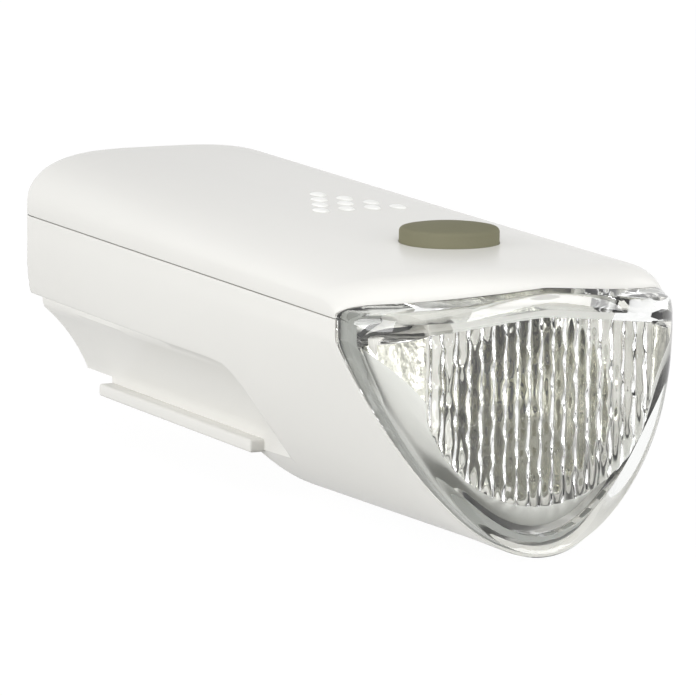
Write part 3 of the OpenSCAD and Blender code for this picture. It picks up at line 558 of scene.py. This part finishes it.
zinc, t = material_named("zinc_plated_steel")
where = add(t, "ShaderNodeTexCoord")
plate = add(t, "ShaderNodeTexNoise", {"Scale": 900, "Detail": 4}, {"Vector": where.outputs["Object"]})
shine = add(t, "ShaderNodeMapRange", {"To Min": 0.2, "To Max": 0.42}, {"Value": plate.outputs["Fac"]})
tone = add(t, "ShaderNodeMix", {"A": tint("#BFC2C6"), "B": tint("#A9ABAD")}, {"Factor": plate.outputs["Fac"]},
           data_type="RGBA")
coat = add(t, "ShaderNodeBsdfPrincipled", {"Metallic": 1},
           {"Base Color": tone.outputs["Result"], "Roughness": shine.outputs["Result"]})
add(t, "ShaderNodeOutputMaterial", links={"Surface": coat.outputs["BSDF"]})
dressed("frame_screws", zinc, 0.12)

# Driver board. Glass-epoxy under green solder mask, whose copper tracks show as paler lines about
# 0.2 mm wide, on four screws. It carries a wound choke, a chip, two capacitors and the switch.
winding_half, winding_r, chip_half, plate_t = 1.3, 2.6, 2.03, 0.2
green_mask, t = material_named("green_solder_mask")
where = add(t, "ShaderNodeTexCoord")
tracks = add(t, "ShaderNodeTexBrick",
             {"Scale": 1, "Color1": tint("#1C5232"), "Color2": tint("#215C39"), "Mortar": tint("#3F8A56"),
              "Mortar Size": 0.00022, "Brick Width": 0.0046, "Row Height": 0.0017},
             {"Vector": where.outputs["Object"]}, offset=0.37)
weave = add(t, "ShaderNodeTexNoise", {"Scale": 1200, "Detail": 2}, {"Vector": where.outputs["Object"]})
dents = add(t, "ShaderNodeBump", {"Strength": 0.08, "Distance": 0.0001}, {"Height": weave.outputs["Fac"]})
coat = add(t, "ShaderNodeBsdfPrincipled", {"Roughness": 0.3, "IOR": 1.5},
           {"Base Color": tracks.outputs["Color"], "Normal": dents.outputs["Normal"]})
add(t, "ShaderNodeOutputMaterial", links={"Surface": coat.outputs["BSDF"]})
dressed("driver_board", green_mask, 0.06)
dressed("board_screws", zinc, 0.1)

black_epoxy = clouded("black_moulded_epoxy", "#1B1C1E", "#2B2C2E", 3500, 3, {"Roughness": 0.6})
copper, t = material_named("enamelled_copper_wire")
where = add(t, "ShaderNodeTexCoord")
turns = add(t, "ShaderNodeTexWave", {"Scale": 700, "Distortion": 0.4}, {"Vector": where.outputs["Object"]},
            bands_direction="Z")
dents = add(t, "ShaderNodeBump", {"Strength": 0.6, "Distance": 0.00015}, {"Height": turns.outputs["Fac"]})
coat = add(t, "ShaderNodeBsdfPrincipled", {"Base Color": tint("#B4683C"), "Metallic": 1, "Roughness": 0.25},
           {"Normal": dents.outputs["Normal"]})
add(t, "ShaderNodeOutputMaterial", links={"Surface": coat.outputs["BSDF"]})
choke_mid = sum(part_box("inductor"), Vector()) / 2
chip_mid = sum(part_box("driver_chip"), Vector()) / 2
switch_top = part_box("tact_switch")[1].z


def on_winding(centre, normal):
    off = centre - choke_mid
    return abs(off.z) < winding_half / 1000 and math.hypot(off.x, off.y) < winding_r / 1000


choke = dressed("inductor", black_epoxy, 0.15)
repaint(choke, copper, on_winding)
chip = dressed("driver_chip", black_epoxy, 0.08)
repaint(chip, nickel, lambda c, n: abs(c.y - chip_mid.y) > chip_half / 1000)
can_sleeve = clouded("capacitor_sleeve", "#25324A", "#303D55", 500, 3, {"Roughness": 0.35})
cans = dressed("capacitors", can_sleeve, 0.25)
repaint(cans, aluminium, lambda c, n: n.z > 0.6)
switch = dressed("tact_switch", black_epoxy, 0.12)
repaint(switch, nickel, lambda c, n: n.z > 0.9 and c.z > switch_top - plate_t / 1000)
dressed("switch_plunger", black_epoxy, 0.15)

# Leads. Tinned strands in PVC, red and black, soldered at both ends; the insulation has a soft gloss
# with slow ripples from the extruder, about 2 mm long.
for shade, light, dark in (("red", "#B5251F", "#9A1C18"), ("black", "#242426", "#18181A")):
    pvc = clouded(shade + "_pvc_insulation", light, dark, 500, 2, {"Roughness": 0.38, "IOR": 1.53})
    dressed("led_lead_" + shade, pvc, 0, 50)
    dressed("battery_lead_" + shade, pvc, 0, 50)

# Lens gasket. A ring of silicone between the tongue of the lens and the body, mid-grey as painted shade:
# its grey stands for the shaded gap there, and shows as a soft grey band through the clear rim.
# The skin has a bloom that varies over 3 mm.
# The mid-grey is painted shade of the gap between lens and body.
gasket_silicone_painted_shade = clouded("gasket_silicone_with_painted_shade", "#9C9E99", "#90928D", 300, 3,
                          {"Roughness": 0.45, "IOR": 1.41})
dressed("lens_gasket", gasket_silicone_painted_shade, 0)

# Lens. Moulded clear polycarbonate: a thick drafted rim that follows the bowed edge of the case, and a
# front pane with upright flutes inside that swell and narrow. A tongue behind the rim sits in the case.
lens_reach, lens_sweep, sweep_power = 12.4, 10.3, 5.6
brow_side, brow_arch, brow_power, lens_seat = 1.5, 2.5, 1.2, 0.2
corner_w, corner_drop = 3.4, 1.2
pane_t, tongue_out, tunnel_in, tongue_l, edge_r = 1.5, 2.7, 3.7, 3, 2
rim_back, rim_break, rim_in, rim_side, rim_front_in, rim_share = 0.25, 0.25, 0.06, 0.45, 0.6, 0.7
flute_pitch, flute_deep, flute_sway, flute_drift, flute_fade = 1.6, 0.36, 0.06, 0.9, 0.5
pillow_pitch, pillow_deep, pillow_step, pillow_stray = 4.2, 0.14, 0.62, 0.2
window_x, window_top, window_side, window_low = 14.8, 3.5, -9.5, 12.8
lens_columns, lens_levels = 300, 96
wall_bend, strip_x = 1.6, 10.5


def front_y(x):
    return -lens_reach + lens_sweep * (abs(x) / half_w) ** sweep_power


def brow_z(x):
    """The arched line between cover and lens, rounded off at both ends."""
    off = min(1, max(0, (abs(x) - half_w + corner_w) / corner_w))
    arch = brow_arch * (1 - min(1, abs(x) / half_w) ** brow_power)
    return brow_side + arch - corner_drop * (1 - math.sqrt(1 - off * off))


def pane_point(i, j, inset):
    """A point of the lens seen from the front, its outline drawn in by the inset."""
    x = -(half_w - inset) * math.cos(math.pi * i / lens_columns)
    top = brow_z(x * half_w / (half_w - inset)) - inset + lens_seat
    aside = max(0, 1 - (x / (half_w - inset)) ** 2) ** (1 / hull_power_front)
    low = -flat_side - (chin - flat_side - inset) * aside
    return x, top + (low - top) * j / lens_levels


def window_point(i, j):
    """A point of the fluted window inside the pane, straight above and round below."""
    x = -window_x * math.cos(math.pi * i / lens_columns)
    top = brow_z(x) - window_top
    low = window_side - window_low * math.sqrt(max(0, 1 - (x / window_x) ** 2))
    return x, top + (low - top) * j / lens_levels


outline = [(i, 0) for i in range(lens_columns)] + [(lens_columns, j) for j in range(lens_levels)]
outline += [(i, lens_levels) for i in range(lens_columns, 0, -1)]
outline += [(0, j) for j in range(lens_levels, 0, -1)]
around = len(outline)


def lens_ring(inset, forward, shift):
    ring = []
    for i, j in outline:
        x, z = pane_point(i, j, inset)
        ring.append((x, between(bow_y(x) + shift, front_y(x), forward), z))
    return ring


def flute(x, z):
    """How far a flute stands out from the inside of the pane; each swells where its neighbours narrow."""
    sway = flute_sway * math.sin(2 * math.pi * z / pillow_pitch + math.sin(flute_drift * x))
    u = x / flute_pitch + sway * math.sin(math.pi * x / flute_pitch)
    column = math.floor(u + 0.5)
    across = (u - column) * 2
    fade = min(1, max(0, (window_x - abs(x)) / flute_fade))
    turn = z / pillow_pitch + pillow_step * column + pillow_stray * math.sin(z + 2 * column)
    swell = pillow_deep * math.cos(2 * math.pi * turn)
    return fade * (flute_deep * 0.5 * (1 + math.cos(math.pi * across)) + swell * (1 - across * across))


inner_end = lens_ring(tunnel_in, 0, tongue_l)
rings = [inner_end, lens_ring(tongue_out, 0, tongue_l), lens_ring(tongue_out, 0, -rim_back),
         lens_ring(rim_break, 0, -rim_back), lens_ring(rim_in, 0, -rim_side)]
for f in (0.25, 0.5, 0.75, 1):
    rings.append(lens_ring(between(rim_in, rim_front_in, f), rim_share * f, -rim_side))
for a in range(10, 91, 10):
    c, s = math.cos(math.radians(a)), math.sin(math.radians(a))
    rings.append(lens_ring(rim_front_in + edge_r * (1 - c), between(rim_share, 1, s), -rim_side))
points = [p for ring in rings for p in ring]
faces = []
for r in range(0, around * (len(rings) - 1), around):
    for c in range(around):
        after = (c + 1) % around
        faces.append((r + c, r + after, r + around + after, r + around + c))
width = lens_columns + 1
start = len(points)
for j in range(lens_levels + 1):
    for i in range(width):
        x, z = pane_point(i, j, rim_front_in + edge_r)
        points.append((x, front_y(x), z))
faces += grid_faces(lens_levels + 1, width, start)
start = len(points)
for j in range(lens_levels + 1):
    for i in range(width):
        x, z = window_point(i, j)
        points.append((x, front_y(x) + pane_t + flute(x, z), z))
faces += grid_faces(lens_levels + 1, width, start)
# From the window a curved wall leads back to the end of the tongue, thin at the pane and steep behind.
# Its sides are a satin silver; its lower part and the tongue's end under the brow are white.
inner = [start + j * width + i for i, j in outline]
window = [points[k] for k in inner]
wall_steps = (0.06, 0.13, 0.2, 0.28, 0.36, 0.45, 0.54, 0.63, 0.72, 0.81, 0.9, 1)
white, silver = 1, 2
finishes = KDTree(around * (len(wall_steps) + 1))
for f in wall_steps:
    ring_start = len(points)
    points += [(a[0] + (b[0] - a[0]) * f, a[1] + (b[1] - a[1]) * f ** wall_bend, a[2] + (b[2] - a[2]) * f)
               for a, b in zip(window, inner_end)]
    ring = list(range(ring_start, ring_start + around))
    for c in range(around):
        after = (c + 1) % around
        faces.append((inner[c], inner[after], ring[after], ring[c]))
        if c >= lens_columns and f > wall_steps[0]:
            below = lens_columns + lens_levels <= c < 2 * lens_columns + lens_levels
            middle = sum((place(*points[k]) for k in faces[-1]), Vector()) / 4
            finishes.insert(middle, white if below else silver)
    inner = ring
for face in faces[:lens_columns]:
    if abs(points[face[0]][0]) < strip_x:
        finishes.insert(sum((place(*points[k]) for k in face), Vector()) / 4, white)
finishes.balance()
lens = skin_piece("clear_lens", points, faces)
smooth(lens, 40)

# Clear polycarbonate from a polished tool: water clear, with moulding waves too slight to see alone
# that break up its reflections, about 6 mm long. Light from the lamps goes straight through it.
polycarbonate, t = material_named("clear_polycarbonate")
where = add(t, "ShaderNodeTexCoord")
flow = add(t, "ShaderNodeTexNoise", {"Scale": 160, "Detail": 2}, {"Vector": where.outputs["Object"]})
wave = add(t, "ShaderNodeBump", {"Strength": 0.04, "Distance": 0.0004}, {"Height": flow.outputs["Fac"]})
coat = add(t, "ShaderNodeBsdfPrincipled",
           {"Base Color": tint("#FDFEFD"), "Roughness": 0.015, "IOR": 1.58, "Transmission Weight": 1},
           {"Normal": wave.outputs["Normal"]})
ray = add(t, "ShaderNodeLightPath")
passing = add(t, "ShaderNodeMath", operation="MAXIMUM",
              links={0: ray.outputs["Is Shadow Ray"], 1: ray.outputs["Is Diffuse Ray"]})
clear = add(t, "ShaderNodeBsdfTransparent", {"Color": (1, 1, 1, 1)})
both = add(t, "ShaderNodeMixShader",
           links={0: passing.outputs[0], 1: coat.outputs["BSDF"], 2: clear.outputs[0]})
add(t, "ShaderNodeOutputMaterial", links={"Surface": both.outputs[0]})

# White ink on the lower wall, and a satin silver whose base coat is rippled, about 3 mm long, on its sides.
wall_white = clouded("white_wall_ink", "#EDEDE8", "#E2E3DE", 300, 3, {"Roughness": 0.45, "IOR": 1.41})
wall_silver, t = material_named("satin_metallised_wall")
where = add(t, "ShaderNodeTexCoord")
ripple = add(t, "ShaderNodeTexNoise", {"Scale": 300, "Detail": 3}, {"Vector": where.outputs["Object"]})
dents = add(t, "ShaderNodeBump", {"Strength": 0.6, "Distance": 0.001}, {"Height": ripple.outputs["Fac"]})
coat = add(t, "ShaderNodeBsdfPrincipled", {"Base Color": tint("#E4E3D8"), "Metallic": 1, "Roughness": 0.26},
           {"Normal": dents.outputs["Normal"]})
add(t, "ShaderNodeOutputMaterial", links={"Surface": coat.outputs["BSDF"]})
for material in (polycarbonate, wall_white, wall_silver):
    lens.data.materials.append(material)
for face in lens.data.polygons:
    _, finish, away = finishes.find(face.center)
    if away < 2e-5:
        face.material_index = finish
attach(lens, "housing")
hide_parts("lens")

# Hinge pin. A drawn steel pin, 1.2 mm thick and zinc plated like the screws, pressed into the ears of
# the body.
dressed("hinge_pin", zinc, 0.1)

# Upper cover. One moulding in the same white ABS: its front edge rolls down to the lens in an arch,
# its crown rises to the rear, and its rear end rolls down to the seam. A round hole takes the button.
crown_front, crown_rear, cover_flat, cover_wall = 6.1, 8.7, 1.7, 1.8
arch_front, arch_rear, rear_power, rear_least = 2.3, 3.8, 8, 0.05
brow_roll, arch_steps = 5, 72
button_y, button_r, hole_r = 14, 6.25, 6.32
post_x, post_r, post_h = 10.95, 2, 2.8


def crown(y):
    return crown_front + (crown_rear - crown_front) * y / length


def arch_power(y):
    return between(arch_front, arch_rear, y / length)


def cover_point(angle, y0, follow):
    """A point of the cover's skin: an arch over the light at y0, whose ends follow the bow of the lens."""
    c, s = math.cos(math.radians(angle)), max(0, math.sin(math.radians(angle)))
    x = math.copysign(plan_x(y0) * abs(c) ** (2 / arch_power(y0)), c)
    y = y0 + follow * bow_y(x)
    rear = max(0, (y0 - corner_y + corner_r) / (2 * corner_r))
    rise = (crown(y) - cover_flat) * math.sqrt(max(rear_least, 1 - rear ** rear_power))
    z = cover_flat + rise * s
    q = min(1, y0 / brow_roll)
    roll = math.sqrt(1 - (1 - q) ** 2) if follow == 1 else 1
    edge = brow_z(x)
    return x, y, (edge + (z - edge) * roll if z > edge else z) + seam_gap


def cap_faces(start, columns):
    """Faces across the last row, between points that mirror each other."""
    last, half = start + columns - 1, columns // 2
    pairs = [(start + k, start + k + 1, last - k - 1, last - k) for k in range(half - 1)]
    return pairs + [(start + half - 1, start + half, start + half + 1)]


# Where the arches stand, each with how much of the bow it follows: close together in the rolled brow.
rolled_shares = (0, 0.004, 0.016, 0.036, 0.07, 0.12, 0.18, 0.26, 0.36, 0.48, 0.62, 0.8, 1)
cover_lines = [(brow_roll * q, 1) for q in rolled_shares]
cover_lines += [(7, 0.95), (10, 0.85), (13.5, 0.72), (17, 0.6), (21.5, 0.47), (26, 0.35), (31, 0.23)]
cover_lines += [(36, 0.12), (41, 0.05)] + [(46 + 5.5 * i, 0) for i in range(10)]
cover_lines += [(corner_y + corner_r * math.sin(math.radians(a)), 0) for a in range(0, 91, 5)]
points = []
for y0, follow in cover_lines:
    arch = [cover_point(180 * i / arch_steps, y0, follow) for i in range(arch_steps + 1)]
    (x, y, _), turned = arch[0], min(1, max(0, (y0 - corner_y) / corner_r))
    hem = [(x - drawn * math.sqrt(1 - turned ** 2), y - drawn * turned, seam_gap + up)
           for drawn, up in ((0.09, 0), (0.03, 0.03), (0, 0.09))]
    points += hem + arch + [(-x, y, z) for x, y, z in reversed(hem)]
columns = len(points) // len(cover_lines)
faces = grid_faces(len(cover_lines), columns) + cap_faces(len(points) - columns, columns)
cover = skin_piece("cover_shell", points, faces)
finish_with(cover, "SOLIDIFY", thickness=cover_wall / 1000, offset=-1, use_rim=True)
cut(cover, upright_bar(place(0, button_y, 10), hole_r, 20, 128))
cut(cover, skin_piece("groove", groove_points, groove_faces))
for side in (-1, 1):
    cut(cover, bar_across(side * knuckle_x, side * (ear_x + seam_gap), hinge_y, 0, knuckle_r + seam_gap))
smooth(cover, 36)
knuckle = bar_across(-knuckle_x, knuckle_x, hinge_y, 0, knuckle_r)
break_corners(knuckle, 0.2)
post_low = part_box("button_retainer")[1].z
extras = [knuckle]
for side in (-1, 1):
    spot = (side * post_x / 1000, place(0, button_y, 0).y, post_low + post_h / 2000)
    extras.append(upright_bar(spot, post_r, post_h))
for extra in extras:
    smooth(extra, 42)
join_to(cover, extras)
cover.data.materials.clear()
cover.data.materials.append(white_abs)
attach(cover, "cover")
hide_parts("upper_cover")

# Painted reflections on the cover: low pads, 2 by 3 mm, in rows that narrow to the rear, made whiter
# than the case so that they show as reflections of lamps; the white has specks of 0.5 mm.
dot_x, dot_y, dot_up, dot_sink, dot_pitch, dot_off = 1, 1.6, 0.35, 0.06, 3.65, 1.3
dots = []
for y, count in ((42, 4), (46.1, 3), (50.2, 2), (54.3, 1)):
    for k in range(count):
        x = dot_off + (k - (count - 1) / 2) * dot_pitch
        across = min(1, (abs(x) / plan_x(y)) ** (arch_power(y) / 2))
        z = seam_gap + cover_flat + (crown(y) - cover_flat) * math.sqrt(1 - across ** 2)
        only(None)
        bpy.ops.mesh.primitive_uv_sphere_add(segments=32, ring_count=16, radius=1,
                                             location=place(x, y, z - dot_sink))
        dot = bpy.context.object
        dot.scale = (dot_x / 1000, dot_y / 1000, dot_up / 1000)
        bpy.ops.object.transform_apply(location=True, rotation=False, scale=True)
        bpy.ops.object.shade_smooth()
        dots.append(dot)
join_to(dots[0], dots[1:])
painted_reflections = dots[0]
painted_reflections.name = "painted_reflection_dots"
# Their white, brighter than the case, is a painted reflection of lamps.
painted_reflections.data.materials.append(clouded("white_painted_reflection", "#FDFDFB", "#F8F8F5", 2000, 2, {"Roughness": 0.3}))
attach(painted_reflections, "cover")

# Button retainer. A ring of white nylon under the cover that keeps the button in, held by two screws
# in the posts of the cover.
dressed("button_retainer", white_nylon, 0.15)
dressed("retainer_screws", zinc, 0.1)

# Push button. A cap of olive-grey silicone rubber with a rounded shoulder, moulded on a flange that
# sits under the cover. Its skin is satin, with a bloom that varies over 5 mm.
flange_low, cap_top = (corner.z * 1000 + foot_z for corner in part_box("button"))
flange_top, flange_r, shoulder_r = 4.29, 7.55, 0.7
barrel_top = cap_top - 0.25
dome_up, dome_steps, dome_inset = 0.6, 8, 0.7
button = upright_bar(place(0, button_y, (barrel_top + flange_top) / 2), button_r, barrel_top - flange_top, 128)
button.name = "soft_button"
bpy.ops.object.mode_set(mode="EDIT")
for end in (1, -1):
    bpy.ops.mesh.select_all(action="DESELECT")
    shape = bmesh.from_edit_mesh(button.data)
    for face in shape.faces:
        face.select = face.normal.z * end > 0.9
    bmesh.update_edit_mesh(button.data)
    if end > 0:
        for k in range(dome_steps, 0, -1):
            bpy.ops.mesh.inset(thickness=dome_inset / 1000)
            bpy.ops.transform.translate(value=(0, 0, dome_up / 1000 * (2 * k - 1) / dome_steps ** 2))
    else:
        bpy.ops.mesh.extrude_region_move()
        bpy.ops.transform.resize(value=(flange_r / button_r, flange_r / button_r, 1),
                                 center_override=place(0, button_y, flange_top))
        down = (flange_low - flange_top) / 1000
        bpy.ops.mesh.extrude_region_move(TRANSFORM_OT_translate={"value": (0, 0, down)})
bpy.ops.object.mode_set(mode="OBJECT")
break_corners(button, shoulder_r, 6, 60)
smooth(button, 50)
silicone, t = material_named("olive_grey_silicone")
where = add(t, "ShaderNodeTexCoord")
bloom = add(t, "ShaderNodeTexNoise", {"Scale": 200, "Detail": 5}, {"Vector": where.outputs["Object"]})
tone = add(t, "ShaderNodeMix", {"A": tint("#807E69"), "B": tint("#78765F")}, {"Factor": bloom.outputs["Fac"]},
           data_type="RGBA")
skin = add(t, "ShaderNodeTexNoise", {"Scale": 2500, "Detail": 2}, {"Vector": where.outputs["Object"]})
dents = add(t, "ShaderNodeBump", {"Strength": 0.15, "Distance": 0.0001}, {"Height": skin.outputs["Fac"]})
coat = add(t, "ShaderNodeBsdfPrincipled", {"Roughness": 0.8, "Specular IOR Level": 0.15},
           {"Base Color": tone.outputs["Result"], "Normal": dents.outputs["Normal"]})
add(t, "ShaderNodeOutputMaterial", links={"Surface": coat.outputs["BSDF"]})
button.data.materials.append(silicone)
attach(button, "button")
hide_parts("button")

# Studio. A plain pale floor under the rail's foot and the chin, a white surround and five soft lamps: one
# to the left, one above the cover, and weak ones in front, to the right and behind. Sizes are metres.
floor_w, floor_gap = 6, 0.0002
only(None)
bpy.ops.mesh.primitive_plane_add(size=floor_w, location=(0, 0, cad_low.z - floor_gap))
floor = bpy.context.object
floor.name = "floor"


def seen_rays(tree):
    """1 on the rays that show the surround: straight from the camera, by a reflection or through glass."""
    ray = add(tree, "ShaderNodeLightPath")
    seen = add(tree, "ShaderNodeMath", operation="MAXIMUM",
               links={0: ray.outputs["Is Camera Ray"], 1: ray.outputs["Is Glossy Ray"]})
    return add(tree, "ShaderNodeMath", operation="MAXIMUM",
               links={0: seen.outputs[0], 1: ray.outputs["Is Transmission Ray"]})


paper, t = material_named("pale_paper")
share = add(t, "ShaderNodeMath", {1: 0.88}, {0: seen_rays(t).outputs[0]}, operation="MULTIPLY")
matt = add(t, "ShaderNodeBsdfDiffuse", {"Color": tint("#C4C4C2")})
glow = add(t, "ShaderNodeEmission", {"Color": (1, 1, 1, 1), "Strength": 1.1})
both = add(t, "ShaderNodeMixShader", links={0: share.outputs[0], 1: matt.outputs[0], 2: glow.outputs[0]})
add(t, "ShaderNodeOutputMaterial", links={"Surface": both.outputs[0]})
floor.data.materials.append(paper)
floor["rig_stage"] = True

world = bpy.data.worlds.new("studio")
bpy.context.scene.world = world
world.use_nodes = True
t = world.node_tree
t.nodes.clear()
level = add(t, "ShaderNodeMapRange", {"To Min": 0.34, "To Max": 1}, {"Value": seen_rays(t).outputs[0]})
sky = add(t, "ShaderNodeBackground", {"Color": (1, 1, 1, 1)}, {"Strength": level.outputs["Result"]})
add(t, "ShaderNodeOutputWorld", links={"Surface": sky.outputs[0]})

# The lamps' places, sizes and watts. The one behind makes no glare on the cover.
lamp_aim = Vector((0, -0.02, 0.01))
lamps = (("left_lamp", (-0.72, -0.04, 0.08), 0.5, 4.65), ("top_lamp", (-0.03, -0.22, 0.28), 0.3, 0.46),
         ("lens_lamp", (0.3, -0.68, 0.12), 0.3, 1.85), ("right_lamp", (0.75, 0.1, 0.04), 0.5, 1.2),
         ("rear_lamp", (0.15, 0.75, 0.08), 0.5, 1.6))
for name, spot, size, power in lamps:
    lamp = bpy.data.objects.new(name, bpy.data.lights.new(name, "AREA"))
    lamp.data.size, lamp.data.energy = size, power
    lamp.location = spot
    lamp.visible_glossy = name != "rear_lamp"
    lamp.rotation_euler = (lamp_aim - Vector(spot)).to_track_quat("-Z", "Y").to_euler()
    bpy.context.scene.collection.objects.link(lamp)

# Camera at the photograph's place: 26 degrees to the side and 9 above, with a long lens.
turn, rise, roll = math.radians(-26), math.radians(8.903), math.radians(0.48)
aim, eye_away = place(-20.69, -0.09, -3.555), 0.651
right = Vector((math.cos(turn), math.sin(turn), 0))
ahead = Vector((-math.sin(turn) * math.cos(rise), math.cos(turn) * math.cos(rise), -math.sin(rise)))
up = right.cross(ahead)
eye = aim - ahead * eye_away
across, top = right * math.cos(roll) + up * math.sin(roll), up * math.cos(roll) - right * math.sin(roll)
camera = bpy.data.objects.new("photo_camera", bpy.data.cameras.new("photo_camera"))
camera.data.lens, camera.data.sensor_width = 280.2, 36
camera.data.clip_start, camera.data.clip_end = 0.01, 20
camera.matrix_world = Matrix(((across.x, top.x, -ahead.x, eye.x), (across.y, top.y, -ahead.y, eye.y),
                              (across.z, top.z, -ahead.z, eye.z), (0, 0, 0, 1)))
bpy.context.scene.collection.objects.link(camera)
bpy.context.scene.camera = camera
bpy.context.scene.view_settings.view_transform = "Standard"

# A dark cloth behind the camera, 0.7 m wide, which only mirrors and clear pieces show.
cloth_w, cloth_back = 0.7, 0.05
only(None)
bpy.ops.mesh.primitive_plane_add(size=cloth_w, location=eye - ahead * cloth_back,
                                 rotation=camera.matrix_world.to_euler())
cloth = bpy.context.object
cloth.name = "dark_cloth"
bpy.ops.object.transform_apply(location=True, rotation=True, scale=False)
cloth.visible_camera = cloth.visible_diffuse = cloth.visible_shadow = False
cloth.data.materials.append(clouded("black_cotton", "#262624", "#454541", 12, 3, {"Roughness": 0.9}))
cloth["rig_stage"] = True

low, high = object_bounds()
